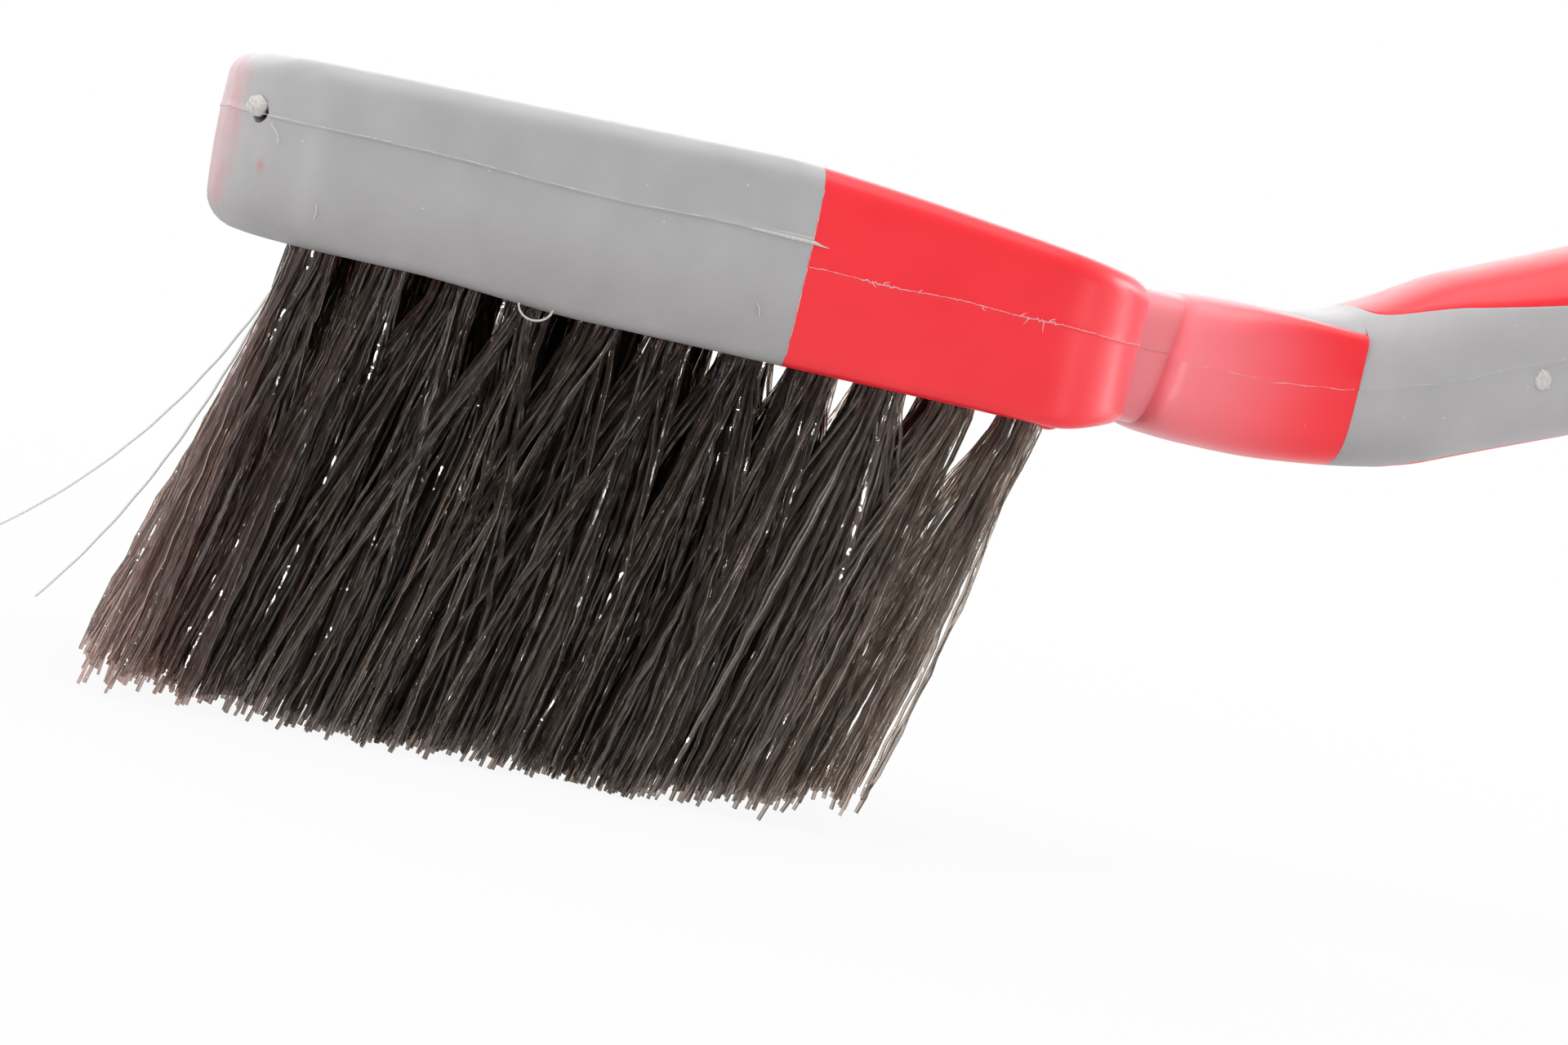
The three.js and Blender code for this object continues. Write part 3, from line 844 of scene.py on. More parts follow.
def spine(s):
    """Place and slope of the centre line at a distance behind the waist."""
    bend = np.clip(s - NECK_RUN, 0, BEND_RUN) / BEND_RADIUS
    rise = np.clip(s - NECK_RUN - BEND_RUN, 0, RISE_RUN)
    back = np.clip(s - NECK_RUN - BEND_RUN - RISE_RUN, 0, BACK_RUN) / LEVEL_RADIUS
    level = np.minimum(s, NECK_RUN) + np.maximum(s - NECK_RUN - BEND_RUN - RISE_RUN - BACK_RUN, 0)
    x = (level + BEND_RADIUS * np.sin(bend) + rise * math.cos(RISE)
         + LEVEL_RADIUS * (math.sin(RISE) - np.sin(RISE - back)))
    z = (BEND_RADIUS * (1 - np.cos(bend)) + rise * math.sin(RISE)
         + LEVEL_RADIUS * (np.cos(RISE - back) - math.cos(RISE)))
    return HEAD_LENGTH + x, BLOCK + NECK_LIFT + z, bend - back


SPINE_S = np.linspace(-12, HANDLE_RUN, 4000)
SPINE_X, SPINE_Z, SPINE_SLOPE = spine(SPINE_S)
HANDLE_END = SPINE_X[-1]
GRIP_END = HANDLE_END - GRIP_END_GAP
STATIONS = np.array([
    (NECK_RUN, NECK_HALF, NECK_UP, NECK_DOWN),
    (GRIP_FROM - CROWN_LEAD, NECK_HALF, NECK_UP, NECK_DOWN),
    (GRIP_FROM - CROWN_LEAD + CROWN_RUN, GRIP_HALF, GRIP_UP, GRIP_DOWN),
    (NECK_RUN + BEND_RUN + RISE_RUN, PALM_HALF, PALM_UP, PALM_DOWN),
    (HANDLE_RUN - END_ROUND, END_HALF, END_UP, END_DOWN),
])


def bar_size(x):
    """Half width, height above and depth below the centre line at X."""
    s = np.interp(x, SPINE_X, SPINE_S)
    size = STATIONS[0, 1:] + 0 * s[..., None]
    for low, high in zip(STATIONS, STATIONS[1:]):
        size = size + ease(s, low[0], high[0])[..., None] * (high[1:] - low[1:])
    swell = np.clip((x - GROOVE_END) / GROOVE_SWELL, 0, 1)
    drawn = 1 - np.sqrt(1 - (1 - swell) ** 2)
    waist = np.array([NECK_HALF - WAIST_HALF, NECK_UP - WAIST_UP, NECK_DOWN - WAIST_DOWN])
    size = size - drawn[..., None] * waist
    slope = np.interp(x, SPINE_X, SPINE_SLOPE)
    size = size / np.stack([np.ones_like(slope), np.cos(slope), np.cos(slope)], -1)
    left = np.clip((HANDLE_END - x) / END_ROUND, 0, 1)
    return size * np.sqrt(1 - (1 - left) ** 2)[..., None]


def squareness(x, above):
    """Power of the section's rounded square: the grip is rounder above than below."""
    upper = NECK_SQUARE + (CROWN_SQUARE - NECK_SQUARE) * ease(x, *CROWN_TURN)
    lower = (NECK_SQUARE + (GRIP_SQUARE - NECK_SQUARE) * ease(x, *GRIP_TURN)
             + (END_SQUARE - GRIP_SQUARE) * ease(x, *END_TURN))
    return np.where(above, upper, lower)


def level_height(x):
    """Height of the straight upper edge of the neck."""
    return BLOCK + NECK_LIFT + NECK_UP + NECK_TOP_LIFT - NECK_TOP_FALL * (x - NECK_TOP_AT)


def bar_points(x, share, inset, side, level=False):
    """Points on the bar at X; share runs from 1 at the top over 0 at the side to -1 at the bottom."""
    x, share = np.broadcast_arrays(np.asarray(x, float), np.asarray(share, float))
    power = squareness(x, share > 0)
    if level:
        boxy = NECK_SQUARE + (NECK_TOP_SQUARE - NECK_SQUARE) * ease(x, *NECK_TOP_TURN)
        power = np.where((x < GRIP_START) & (share > 0), boxy, power)
    angle = share * math.pi / 2
    up = np.sign(angle) * np.abs(np.sin(angle)) ** (2 / power)
    across = np.abs(np.cos(angle)) ** (2 / power)
    size = bar_size(x)
    lean = GROOVE_LEAN * ease(x, *GROOVE_LEAN_STARTS) * (1 - ease(x, *GROOVE_LEAN_ENDS))
    leaning = x + lean * up
    z = np.interp(leaning, SPINE_X, SPINE_Z)
    above = size[..., 1]
    if level:
        above = np.where(x < GRIP_START, np.minimum(above, level_height(x) - z), above)
    reach = np.where(up > 0, above, size[..., 2])
    shrink = np.minimum(inset, size.min(-1) * 0.95)
    return np.stack([leaning, side * (size[..., 0] - shrink) * across, z + up * (reach - shrink)], -1)


def share_at(x, offset):
    """Share of the section's turn at a height in millimetres above the centre line."""
    size = bar_size(x)
    power = squareness(x, offset > 0)
    part = np.clip(np.abs(offset) / np.where(offset > 0, size[..., 1], size[..., 2]), 0, 1)
    return np.sign(offset) * np.arcsin(part ** (power / 2)) * 2 / math.pi


def side_shares(x, top, bottom, steps=22):
    """Shares down one side between two ends, with rows for the moulding line, and each row's lip."""
    def between(start, end):
        return [start + (end - start) * k / steps for k in range(steps + 1)]

    above, over, under, below = (share_at(x, np.full_like(x, offset)) for offset in (0.34, 0.1, -0.1, -0.34))
    rows = between(top, above) + [over, under] + between(below, bottom)
    lip = np.maximum(BAR_LIP + 0.03 * ripple(x, 31, (17, 5.3)), 0.01)
    flat = [0 * x] * (steps + 1)
    return np.array(rows), np.array(flat + [lip, lip] + flat)


def end_stations(low, high, step):
    """Stations along X with a finely stepped rounding before the handle's end."""
    straight = np.arange(low, high - END_ROUND, step)
    round_off = high - END_ROUND * (1 - np.sin(arc(14)))
    return np.concatenate([straight, round_off[:-1], [high - 0.004]])


def closed_loft(name, rings):
    """Closed skin through a table of rings, one ring to a column, with both ends filled."""
    index = numbered(rings)
    quads = grid_quads(np.concatenate([index, index[:1]]))
    caps = np.stack([index[:, 0], index[::-1, -1]])
    return weld(build_mesh(name, rings.reshape(-1, 3), [quads, caps]))


def core_bar():
    """Neck, the bar inside the grip and the bare end, in one skin."""
    neck_edge = GRIP_START - SEAM_ROLL * np.array([1.0, 0.6, 0.3, 0.1, 0.0])
    neck = np.concatenate([np.arange(88, 99, 1.0), np.arange(99, 109, 0.25),
                           np.arange(109, GRIP_START - 0.3, 0.8), neck_edge])
    inside = np.arange(GRIP_START, GRIP_END + 1.5, 2.0)
    inside[-1] = GRIP_END
    end = end_stations(GRIP_END + 0.02, HANDLE_END, 0.9)
    x = np.concatenate([neck, inside, end])
    sunk = np.concatenate([rolled(GRIP_START - neck, SEAM_ROLL), np.full(len(inside), GRIP_WALL + 0.1),
                           rolled(end - GRIP_END, SEAM_ROLL)])
    shares, lips = side_shares(x, np.ones_like(x), -np.ones_like(x))
    lips = lips * (sunk == 0) * (x < GRIP_START)
    near = bar_points(x[None], shares, sunk - lips, -1, level=True)
    far = bar_points(x[None], shares, sunk - lips, 1, level=True)
    return closed_loft("core_handle", np.concatenate([near, far[-2:0:-1]]))


def hang_cutter():
    """Upright slot with round ends that flares at both faces."""
    middle = HANDLE_END - HANG_INSET
    z = float(np.interp(middle, SPINE_X, SPINE_Z))
    flare = [(3.4, 0.0), (4.1, 0.17), (4.7, 0.55), (5.3, 1.25), (9.0, 3.6)]
    turn = np.linspace(-math.pi / 2, math.pi / 2, 17)
    reach = HANG_LENGTH / 2 - HANG_HALF
    rings = []
    for dz, more in [(-dz, more) for dz, more in flare[::-1]] + flare:
        radius = HANG_HALF + more
        front = np.column_stack([middle + reach + radius * np.cos(turn), radius * np.sin(turn)])
        rear = np.column_stack([middle - reach - radius * np.cos(turn), -radius * np.sin(turn)])
        loop = np.concatenate([front, rear])
        rings.append(np.column_stack([loop, np.full(len(loop), z + dz)]))
    return closed_loft("hang_cutter", np.swapaxes(np.array(rings), 0, 1))


place("core_handle", cut(core_bar(), hang_cutter()), RED)


# Soft grip and the two panels of the core that show through it

CROWN_FROM = GRIP_START + CROWN_START
PANEL_FROM = GRIP_START + PANEL_START
PANEL_TO = GRIP_END - PANEL_STOP


def crown_edge(x):
    """Height share of the upper panel's edge: 1 where the grip is closed above, lower down the side."""
    def opening(distance, run):
        d = np.clip(distance, 0, run)
        return (1 - d / run) ** 1.2 * (1 - 0.22 * (1 - np.exp(-d / 1.2)))

    shut = np.maximum(opening(x - CROWN_FROM, CROWN_FRONT_RUN), opening(PANEL_TO - x, CROWN_REAR_RUN))
    return CROWN_LOW + (1 - CROWN_LOW) * shut


def crown_share(x):
    return np.arcsin(crown_edge(x) ** (squareness(x, True) / 2)) * 2 / math.pi


def panel_half(x):
    """Half width of the lower panel's long opening, round at both ends."""
    ends = np.minimum(x - PANEL_FROM, PANEL_TO - x)
    part = np.clip(ends / PANEL_HALF, 0, 1)
    return PANEL_HALF * np.sqrt(1 - (1 - part) ** 2)


def under_share(x, y):
    """Share of the section's turn, down from the side, at which the bar is that far from its middle."""
    half = bar_size(x)[..., 0]
    part = np.clip(y / half, 0, 1)
    return -np.arccos(part ** (squareness(x, False) / 2)) * 2 / math.pi


def grip_stations():
    """Stations along X, close together where an end or an opening's round end falls."""
    lead = PANEL_HALF * (1 - np.cos(arc(12)))
    crown = CROWN_FROM + np.array([0, 0.03, 0.1, 0.25, 0.5, 0.9, 1.4, 2.0, 2.7])
    middle = np.arange(PANEL_FROM + PANEL_HALF + 1.2, PANEL_TO - PANEL_HALF - 0.6, 1.2)
    rear = np.arange(PANEL_TO + 0.8, GRIP_END - 1, 1.0)
    end = GRIP_END - np.array([0.6, 0.3, 0.1, 0])
    return np.concatenate([[GRIP_START], crown, PANEL_FROM + lead, middle, PANEL_TO - lead[::-1], rear, end])


SHARE_PER_MM = 0.06
EDGE_STEPS = np.array([0.0, 0.03, 0.08, 0.16, 0.3])
EDGE_DEPTH = 0.6
PANEL_SEAT = 0.4
GRIP_END_ROLL = 0.6


def grip_mesh():
    x = grip_stations()
    crown = crown_share(x)
    half = panel_half(x)
    crown_open = crown_edge(x) < 1
    under_open = half > 0
    above = [crown - d * SHARE_PER_MM for d in EDGE_STEPS]
    below = [under_share(x, half + d) for d in EDGE_STEPS]
    shares, lips = side_shares(x, above[-1], below[-1])
    sink = [EDGE_DEPTH * rolled(d, EDGE_STEPS[-1]) for d in EDGE_STEPS[:-1]]
    shares = np.concatenate([above[:-1], shares, below[-2::-1]])
    lips = np.concatenate([[-d * crown_open for d in sink], lips, [-d * under_open for d in sink[::-1]]])
    ends = rolled(GRIP_END - x, GRIP_END_ROLL)
    lips = np.where(lips > 0, lips * (ends == 0), lips)
    tables, groups, first = [], [], 0
    for side in (-1, 1):
        outer = bar_points(x[None], shares, ends - lips, side)
        inner = bar_points(x[None], shares, GRIP_WALL + 0 * shares, side)
        out = numbered(shares, first)
        into = out + shares.size
        tables += [outer.reshape(-1, 3), inner.reshape(-1, 3)]
        groups += [grid_quads(out), grid_quads(into)]
        groups += [grid_quads(np.stack([out[:, k], into[:, k]])) for k in (0, -1)]
        for k, is_open in ((0, crown_open), (-1, under_open)):
            strip = grid_quads(np.stack([out[k], into[k]]))
            groups.append(strip[is_open[:-1] | is_open[1:]])
        first += 2 * shares.size
    return weld(build_mesh("handle_grip_sleeve", np.concatenate(tables), groups))


def tongue_mesh():
    """The grip's front lip, which laps forward over the level top of the neck."""
    x = np.concatenate([np.arange(LAP_FROM, GRIP_START - 0.3, 0.6), [GRIP_START]])
    low = level_height(x) - LAP_DEPTH - np.interp(x, SPINE_X, SPINE_Z)
    start = share_at(x, low)
    share = start + (1 - start) * np.linspace(0, 1, 24)[:, None]
    narrower = LAP_NARROWING * (1 - ease(x, *LAP_WIDENS)) * (1 - ease(share, 0.75, 1.0))
    near = bar_points(x[None], share, 0.0, -1)
    near[..., 1] += narrower
    far = near * MIRROR
    return closed_loft("grip_tongue", np.concatenate([near, far[-2::-1]]))


def panel_mesh(name, x, share, inside, across):
    """A panel of the core from edge to edge, its edges rounded by how far inside them a point lies."""
    rows = bar_points(x[None], share, EDGE_DEPTH * rolled(inside, EDGE_STEPS[-1]), 1)
    rows[..., 1] *= np.sign(across)
    skin = weld(build_mesh(name, rows.reshape(-1, 3), [grid_quads(numbered(rows))]))
    return wall_inwards(skin, GRIP_WALL + PANEL_SEAT)


def crown_mesh():
    """The core's upper panel, over the top of the grip."""
    x = grip_stations()
    x = x[(x >= CROWN_FROM) & (x <= PANEL_TO)]
    across = np.linspace(-1, 1, 37)[:, None]
    edge = crown_share(x)
    share = 1 - np.abs(across) * (1 - edge)
    return panel_mesh("grip_panel_top", x, share, (share - edge) / SHARE_PER_MM, across)


def under_panel_mesh():
    """The core's lower panel, flush in the grip's opening below."""
    x = grip_stations()
    x = x[(x >= PANEL_FROM) & (x <= PANEL_TO)]
    half = panel_half(x)
    across = np.sin(np.linspace(-1, 1, 25) * math.pi / 2)[:, None] * half
    share = under_share(x[None], np.abs(across))
    return panel_mesh("grip_panel_under", x, share, half - np.abs(across), across)


place("handle_grip_sleeve", grip_mesh(), GREY, ["handle_grip"])
place("grip_tongue", tongue_mesh(), GREY)
place("grip_panel_top", crown_mesh(), RED)
place("grip_panel_under", under_panel_mesh(), RED)


# Flash on the core's and the grip's moulding lines, a pale rim with a painted highlight at the bumper's end,
# the grip's gate mark and the lug behind the tufts

def wall_at(x, z):
    """Y of the near wall of the head."""
    return -np.interp(x, plan.points[:, 0], plan.points[:, 1]) + wall_crown(x, z)


def ragged(x_from, x_to, jitter, thickness, seed, spacing=0.22):
    """A broken thread of flash along the near side's moulding line."""
    draw = np.random.default_rng(seed)
    x = np.arange(x_from, x_to, spacing)
    z = head_line(x) + draw.normal(0, jitter, len(x))
    radius = thickness * (0.5 + 0.8 * draw.random(len(x)))
    return np.column_stack([x, wall_at(x, z) - 0.02, z]), radius


def barb(x, dx, dz):
    z = BLOCK + HEAD_LINE
    side = float(wall_at(np.array(x), z)) - 0.03
    start = (x, side, z)
    end = (x + dx, side - 0.12, z + dz)
    bend = (x + 0.2 * dx, side - 0.08, z + 0.7 * dz)
    return bezier(start, bend, end, 8), np.linspace(0.07, 0.02, 8)


def end_highlight_rim():
    """The thin raised rim where the bumper's end meets the core, coloured pale pink as a painted highlight
    along that edge.
    """
    z = np.linspace(BLOCK + BOTTOM_FILLET, back_height(BUMPER_LENGTH) - TOP_FILLET, 40)
    x = np.full_like(z, BUMPER_LENGTH + 0.03)
    radius = 0.045 + 0.025 * ripple(z, 72, (7, 2.9, 1.3))
    return np.column_stack([x, wall_at(x, z), z]), np.maximum(radius, THINNEST)


def bar_thread(x_from, x_to, thickness, seed, above=0.0):
    """A thread of flash along the near side of the neck or grip, above the middle by a height."""
    x = np.arange(x_from, x_to, 0.3)
    path = bar_points(x, share_at(x, above + 0.1 * ripple(x, seed, (9, 4))), -0.06, -1)
    radius = thickness * (1 + 0.5 * ripple(x, seed + 1, (7, 2.9, 1.1)))
    return path, np.maximum(radius, 0.01)


threads = [
    ragged(57.7, 96.5, 0.03, 0.045, 53),
    ragged(63.2, 66.8, 0.09, 0.07, 51),
    ragged(79.6, 84.6, 0.09, 0.07, 52),
    # Pale rim at the bumper's end: a painted highlight along the edge.
    end_highlight_rim(),
    bar_thread(98.2, GROOVE_END, 0.05, 58, 0.5),
    bar_thread(103.5, GRIP_START, 0.03, 54),
]
BARBS = [(64.4, 0.5, -0.5), (65.6, 0.6, 0.3), (81.2, -0.4, -0.7), (82.9, 0.1, -1.1),
         (83.4, 0.7, 0.5), (80.4, 0.5, 0.4), (69.4, 0.3, 0.3), (76.2, 0.4, -0.3)]
threads += [barb(*b) for b in BARBS]
place("core_flash_and_highlight", tube_mesh("core_flash_and_highlight", threads, 6), PINK)
grip_thread = bar_thread(GRIP_START, GRIP_END - 1, 0.03, 56)
place("grip_flash", tube_mesh("grip_flash", [grip_thread], 6), TORN)

GRIP_GATE_X, GRIP_GATE_Z = np.array(142.9), 62.5
GRIP_GATE_RADII = (0.9, 1.2, 0.22)
SIDE_AXES = np.array([(1.0, 0, 0), (0, 0, 1.0), (0, -1.0, 0)])
gate_share = share_at(GRIP_GATE_X, GRIP_GATE_Z - np.interp(GRIP_GATE_X, SPINE_X, SPINE_Z))
gate_spot = bar_points(GRIP_GATE_X, gate_share, 0.0, -1)
grip_gate = lump("grip_gate", gate_spot, SIDE_AXES, GRIP_GATE_RADII, 0.13, 13)
place("grip_gate", grip_gate, TORN, sharp=TORN_SHARP)

LUG_FROM, LUG_TO, LUG_Y = 86.0, 87.9, -19.2
LUG_RADIUS, LUG_STEPS = 0.42, 12
lug_x = np.linspace(LUG_FROM, LUG_TO, LUG_STEPS)
lug_z = BLOCK + 0.02 + 0.1 * ease(lug_x, 86.5, 88)
lug = np.column_stack([lug_x, np.full(LUG_STEPS, LUG_Y), lug_z])
lug_radius = LUG_RADIUS * np.sqrt(np.sin(np.linspace(0.06, 0.94, LUG_STEPS) * math.pi))
place("core_lug", tube_mesh("core_lug", [(lug, lug_radius)], 10), RED)


# Filament tufts

FILAMENTS = 88
BUNDLES = 9
FILAMENT_SIDES = 6
FILAMENT_RADIUS = 0.2
FILAMENT_FLATNESS = 1.3
FILAMENT_SHARP = 50
ROOT_RADIUS = 2.3
ROOT_BITE = 3.0
FILAMENT_RUN = BLOCK + ROOT_BITE
STRAIGHT_SHARE = 0.09
HEEL_CLOSE = 1.3
BENDS = 20
BEND_HALF = 0.2
FIRST_BEND = (0.3, 2.2)
KINK_DEPTH = (0.02, 0.12)
KINK_STARTS = (0.05, 0.14)
THICKNESS = (0.8, 1.25)

# How far the tips lean out in millimetres along and across the row, and how uneven the tufts are
FAN = 0.75
BUNDLE_LEAN, BUNDLE_LIMIT = (4.0, 2.0), 7.0
OWN_LEAN, OWN_LIMIT = (1.1, 0.8), 2.6
TUFT_LEAN = (1.2, 0.4)
LOOSE_SHARE, LOOSE_TIMES = 0.1, 2.4
ROOT_UNEVEN = 0.06
CLUMP_UNEVEN = 0.8
TIP_UNEVEN = 0.8
LOWEST_TIP = 0.05
SPREAD_POWER = 1.75
BOW = 0.6
SWAY = 0.4
GOLDEN = math.pi * (3 - math.sqrt(5))


def trim_height(x):
    """Height of the trimmed ends under a root at X, with the root's share from toe (-1) to heel (1)."""
    middle = (TRIM_FROM + TRIM_TO) / 2
    share = np.clip((x - middle) / (TRIM_TO - middle), -TRIM_LIMIT, TRIM_LIMIT)
    return np.where(share < 0, TOE_TRIM, HEEL_TRIM) * np.abs(share) ** 3, share


def crimp_steps(count, draw):
    """Distances along each filament with three steps at every bend, and the zigzag and bead there."""
    first = draw.uniform(*FIRST_BEND, (count, 1))
    last = draw.uniform(*FIRST_BEND, (count, 1))
    pitch = (FILAMENT_RUN - first - last) / (BENDS - 1)
    bend = first + pitch * np.arange(BENDS)
    sign = (-1.0) ** np.arange(BENDS)
    slope = 2 * BEND_HALF / pitch
    near = sign * (1 - slope)
    steps = np.stack([bend - BEND_HALF, bend, bend + BEND_HALF], -1).reshape(count, -1)
    zigzag = np.stack([near, 0.95 * sign + 0 * near, near], -1).reshape(count, -1)
    bead = np.tile([0.97, 1.07, 0.97], (count, BENDS))
    steps[:, -1] = FILAMENT_RUN
    start = np.zeros((count, 1))
    zigzag = np.concatenate([sign[0] * (1 - 2 * first / pitch), zigzag], 1)
    zigzag[:, -1] = (sign[-1] * (1 - 2 * last / pitch))[:, 0]
    return np.concatenate([start, steps], 1), zigzag, np.concatenate([start + 1, bead], 1)


def tuft_paths(x, y, number):
    """Crimped paths and sizes of one tuft's filaments, from inside the hole to their trimmed ends."""
    order = np.arange(FILAMENTS)
    radius = ROOT_RADIUS * np.sqrt((order + 0.5) / FILAMENTS)
    turn = (order * GOLDEN) % (2 * math.pi)
    start = random.uniform(0, 2 * math.pi)
    dx = radius * np.cos(turn + start) + random.normal(0, ROOT_UNEVEN, FILAMENTS)
    dy = radius * np.sin(turn + start) + random.normal(0, ROOT_UNEVEN, FILAMENTS)
    bundle = (turn / (2 * math.pi) * BUNDLES).astype(int)
    rise, share = trim_height(x + dx)
    loose = np.where(random.random(FILAMENTS) < LOOSE_SHARE, LOOSE_TIMES, 1.0)
    lean = np.clip(random.normal(0, BUNDLE_LEAN, (BUNDLES, 2)), -BUNDLE_LIMIT, BUNDLE_LIMIT)[bundle]
    own = np.clip(random.normal(0, OWN_LEAN, (FILAMENTS, 2)), -OWN_LIMIT, OWN_LIMIT)
    away = FAN * np.stack([dx, dy], -1) + lean + loose[:, None] * own + random.normal(0, TUFT_LEAN)
    away *= (1 - 0.2 * np.abs(share) ** 4)[:, None]
    away[:, 0] -= HEEL_CLOSE * np.maximum(share, 0) ** 6
    tip_x = x + dx - BLOCK * LEAN + away[:, 0]
    inward = random.uniform(0, 3, FILAMENTS) ** 2 / 3
    tip_x = np.clip(tip_x, FIELD_FROM + inward, FIELD_TO - inward)
    tip_y = np.clip(y + dy + away[:, 1], -HEAD_HALF, HEAD_HALF)
    clump = np.abs(np.random.default_rng(300 + number).normal(0, CLUMP_UNEVEN, BUNDLES))[bundle]
    tip_z = np.maximum(rise + clump + random.normal(0.0, TIP_UNEVEN, FILAMENTS), LOWEST_TIP)

    distance, zigzag, bead = crimp_steps(FILAMENTS, random)
    t = distance / FILAMENT_RUN
    free = np.maximum(t - STRAIGHT_SHARE, 0) / (1 - STRAIGHT_SHARE)
    spread = 1 - (1 - free) ** SPREAD_POWER
    root = np.stack([x + dx + ROOT_BITE * LEAN, y + dy, np.full(FILAMENTS, BLOCK + ROOT_BITE)], -1)
    tip = np.stack([tip_x, tip_y, tip_z], -1)
    paths = root[:, None] + (tip - root)[:, None] * t[..., None]
    sideways = np.stack([tip_x - x + (BLOCK - tip_z) * LEAN - dx, tip_y - y - dy], -1)
    paths[..., :2] += sideways[:, None] * (spread - t)[..., None]
    paths[..., 0] += BOW * 4 * t * (1 - t)
    for waves in (1, 2, 3, 5, 8, 13):
        sway = random.normal(0, SWAY / waves, (FILAMENTS, 1, 2))
        paths[..., :2] += sway * np.sin(waves * math.pi * t)[..., None]

    plane = random.uniform(0, math.pi, (FILAMENTS, 1))
    depth = random.uniform(*KINK_DEPTH, (FILAMENTS, 1)) * ease(t, *KINK_STARTS)
    paths[..., 0] += depth * zigzag * np.cos(plane)
    paths[..., 1] += depth * zigzag * np.sin(plane)
    radii = FILAMENT_RADIUS * random.uniform(*THICKNESS, (FILAMENTS, 1)) * bead
    return paths, radii, random.uniform(0, math.pi, FILAMENTS)


for number, (x, y, row) in enumerate(tuft_roots(), 1):
    name = f"tuft_{number:02d}"
    paths, radii, turns = tuft_paths(x, y, number)
    points, quads, caps = tube_skin(paths, radii, FILAMENT_SIDES, turns, FILAMENT_FLATNESS)
    mesh = build_mesh(name, points, [quads, caps])
    place(name, mesh, DARK, [f"bristle_row_{row}"], sharp=FILAMENT_SHARP)


STRAY_WAVE = 5.0
STRAY_SWING_X, STRAY_SWING_Z = 0.05, 0.035
STRAY_RADIUS = 0.14


def loose_filament(root, bend, end, seed):
    """A filament that has come out of line, still crimped."""
    path = bezier(root, bend, end, 90)
    distance = np.concatenate([[0], np.cumsum(np.linalg.norm(np.diff(path, axis=0), axis=1))])
    draw = np.random.default_rng(seed)
    wave = np.sin(2 * math.pi * distance / STRAY_WAVE + draw.uniform(0, 6))
    path[:, 0] += STRAY_SWING_X * wave
    path[:, 2] += STRAY_SWING_Z * wave
    return path, STRAY_RADIUS


strays = [
    loose_filament((8.6, -17.2, 48.0), (1.6, -17.4, 26.6), (-14.45, -17.0, 13.9), 61),
    loose_filament((8.0, -17.6, 48.0), (1.8, -17.8, 22.4), (-9.7, -17.2, 7.6), 62),
]
# The loose filaments take the painted lit copy of the filament material.
place("stray_filaments", tube_mesh("stray_filaments", strays, 8), LIT_FILAMENT_COPY, sharp=FILAMENT_SHARP)


# Stage: white surroundings, soft light and the photograph's camera

def ray_share(tree, *kinds):
    """1 for rays of the named kinds."""
    path = add_node(tree, "ShaderNodeLightPath")
    total = path.outputs[kinds[0]]
    for name in kinds[1:]:
        links = {0: total, 1: path.outputs[name]}
        total = add_node(tree, "ShaderNodeMath", links, operation="MAXIMUM").outputs[0]
    return total


# The world lights the brush evenly, is white to the camera and darker in reflections on the near side
WORLD_LIGHT = 0.78
ROOM_LIGHT = 0.2
ROOM_FADE = (-0.75, 0.05)

world = bpy.data.worlds.new("surroundings")
bpy.context.scene.world = world
world.use_nodes = True
tree = world.node_tree
direction = add_node(tree, "ShaderNodeTexCoord").outputs["Generated"]
facing = add_node(tree, "ShaderNodeSeparateXYZ", {0: direction}).outputs["Y"]
room = map_range(tree, facing, ROOM_FADE, (ROOM_LIGHT, 1.0))
mirrored = ray_share(tree, "Is Glossy Ray", "Is Transmission Ray")
light = map_range(tree, mirrored, (0.0, 1.0), (WORLD_LIGHT, room))
strength = map_range(tree, ray_share(tree, "Is Camera Ray"), (0.0, 1.0), (light, 1.0))
sky = tree.nodes["Background"]
sky.inputs["Color"].default_value = (1, 1, 1, 1)
tree.links.new(strength, sky.inputs["Strength"])

# The floor is nearly white to the camera and keeps a faint shadow under the brush
FLOOR_HALF = 3.0
FLOOR_Z = -0.0002
FLOOR_GREY = 0.6
SHADOW_FADE = (0.10, 0.34)
FLOOR_WHITE = (0.92, 1.0)

floor_mesh = bpy.data.meshes.new("floor")
corners = [(-1, -1), (1, -1), (1, 1), (-1, 1)]
floor_mesh.from_pydata([(FLOOR_HALF * a, FLOOR_HALF * b, FLOOR_Z) for a, b in corners], [], [(0, 1, 2, 3)])
floor = add_object("floor", floor_mesh)
pale = bpy.data.materials.new("pale_floor")
pale.use_nodes = True
tree = pale.node_tree
tree.nodes.remove(tree.nodes["Principled BSDF"])
matt = add_node(tree, "ShaderNodeBsdfDiffuse", {"Color": (FLOOR_GREY, FLOOR_GREY, FLOOR_GREY, 1)})
glow = add_node(tree, "ShaderNodeEmission")
spot = add_node(tree, "ShaderNodeTexCoord").outputs["Object"]
away = add_node(tree, "ShaderNodeVectorMath", {0: spot}, operation="LENGTH").outputs["Value"]
white = map_range(tree, away, SHADOW_FADE, FLOOR_WHITE)
direct = ray_share(tree, "Is Camera Ray", "Is Glossy Ray", "Is Transmission Ray")
share = add_node(tree, "ShaderNodeMath", {0: direct, 1: white}, operation="MULTIPLY").outputs[0]
blend = add_node(tree, "ShaderNodeMixShader", {0: share, 1: matt.outputs[0], 2: glow.outputs[0]})
tree.links.new(blend.outputs[0], tree.nodes["Material Output"].inputs["Surface"])
floor_mesh.materials.append(pale)


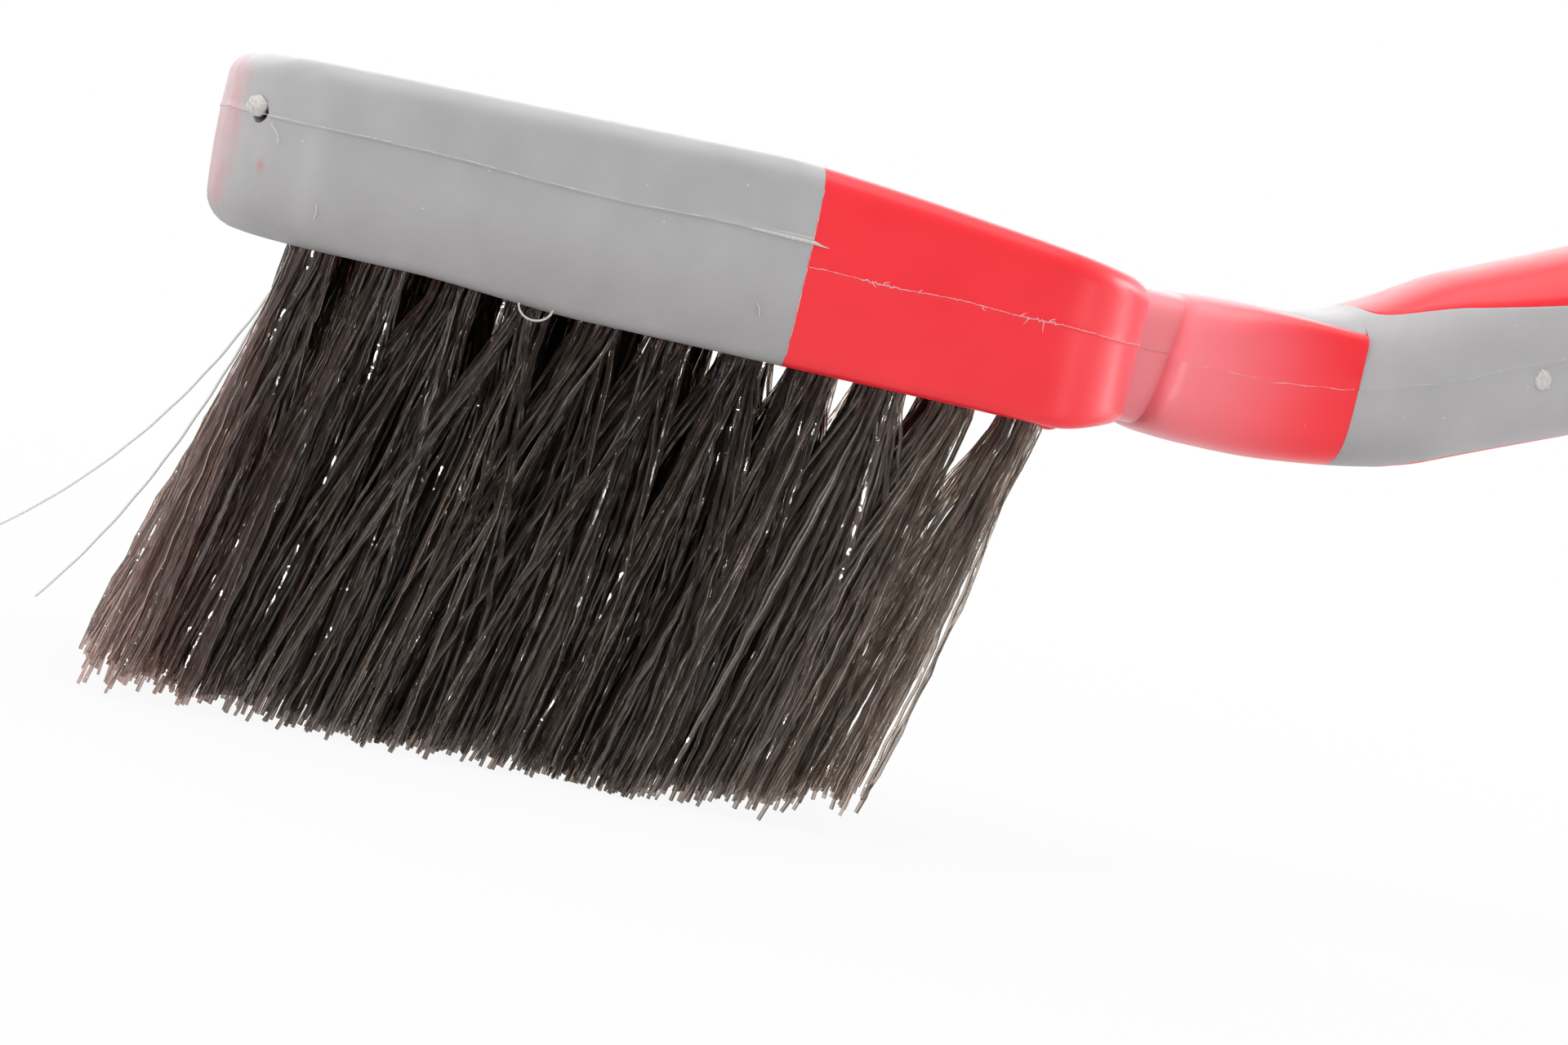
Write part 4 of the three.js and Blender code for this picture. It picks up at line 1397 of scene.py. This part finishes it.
def soft_lamp(name, at, aim, width, height, power):
    lamp = bpy.data.lights.new(name, "AREA")
    lamp.shape = "ELLIPSE"
    lamp.size = width
    lamp.size_y = height
    lamp.energy = power
    holder = add_object(name, lamp)
    holder.location = at
    holder.rotation_euler = (Vector(aim) - Vector(at)).to_track_quat("-Z", "Y").to_euler()


soft_lamp("lamp_above", (-0.10, -0.10, 0.95), (-0.05, 0, 0.05), 0.9, 0.9, 3.8)
soft_lamp("lamp_right", (0.80, 0.15, 0.30), (0.0, 0, 0.05), 0.6, 0.6, 5.2)
soft_lamp("lamp_behind", (-0.05, 1.05, 0.55), (-0.05, 0, 0.05), 1.4, 1.4, 7.0)
soft_lamp("lamp_left", (-0.80, -0.35, 0.40), (-0.08, 0, 0.03), 0.15, 1.0, 0.7)
soft_lamp("lamp_glint", (0.58, -0.60, 0.03), (-0.05, 0, 0.03), 0.06, 0.06, 0.25)
soft_lamp("lamp_spark", (-0.55, -0.62, 0.03), (-0.05, 0, 0.03), 0.06, 0.06, 0.8)

CAMERA_YAW = math.radians(14)
CAMERA_ELEVATION = math.radians(3.4)
CAMERA_ROLL = math.radians(13.1)
CAMERA_DISTANCE = 400.0
FOCAL_PIXELS = 4900.0
IMAGE_SIZE = (1920, 1280)
AIM = np.array([50.0, -23.0, 46.0])
AIM_PIXEL = (873, 430)
SENSOR = 36.0

back = np.array([-math.sin(CAMERA_YAW) * math.cos(CAMERA_ELEVATION),
                 -math.cos(CAMERA_YAW) * math.cos(CAMERA_ELEVATION), math.sin(CAMERA_ELEVATION)])
level_right = np.cross(-back, (0, 0, 1))
level_right /= np.linalg.norm(level_right)
level_up = np.cross(level_right, -back)
right = math.cos(CAMERA_ROLL) * level_right + math.sin(CAMERA_ROLL) * level_up
upward = math.cos(CAMERA_ROLL) * level_up - math.sin(CAMERA_ROLL) * level_right
aside = (AIM_PIXEL[0] - IMAGE_SIZE[0] / 2) / FOCAL_PIXELS * CAMERA_DISTANCE
above = (IMAGE_SIZE[1] / 2 - AIM_PIXEL[1]) / FOCAL_PIXELS * CAMERA_DISTANCE
eye = to_frame(AIM + back * CAMERA_DISTANCE - right * aside - upward * above)

camera_data = bpy.data.cameras.new("camera")
camera_data.sensor_width = SENSOR
camera_data.lens = FOCAL_PIXELS / IMAGE_SIZE[0] * SENSOR
camera_data.clip_start = 0.01
camera = add_object("camera", camera_data)
turned = Matrix([right, upward, back]).transposed().to_4x4()
camera.matrix_world = Matrix.Translation(Vector(eye)) @ turned
bpy.context.scene.camera = camera
bpy.context.scene.view_settings.view_transform = "Standard"
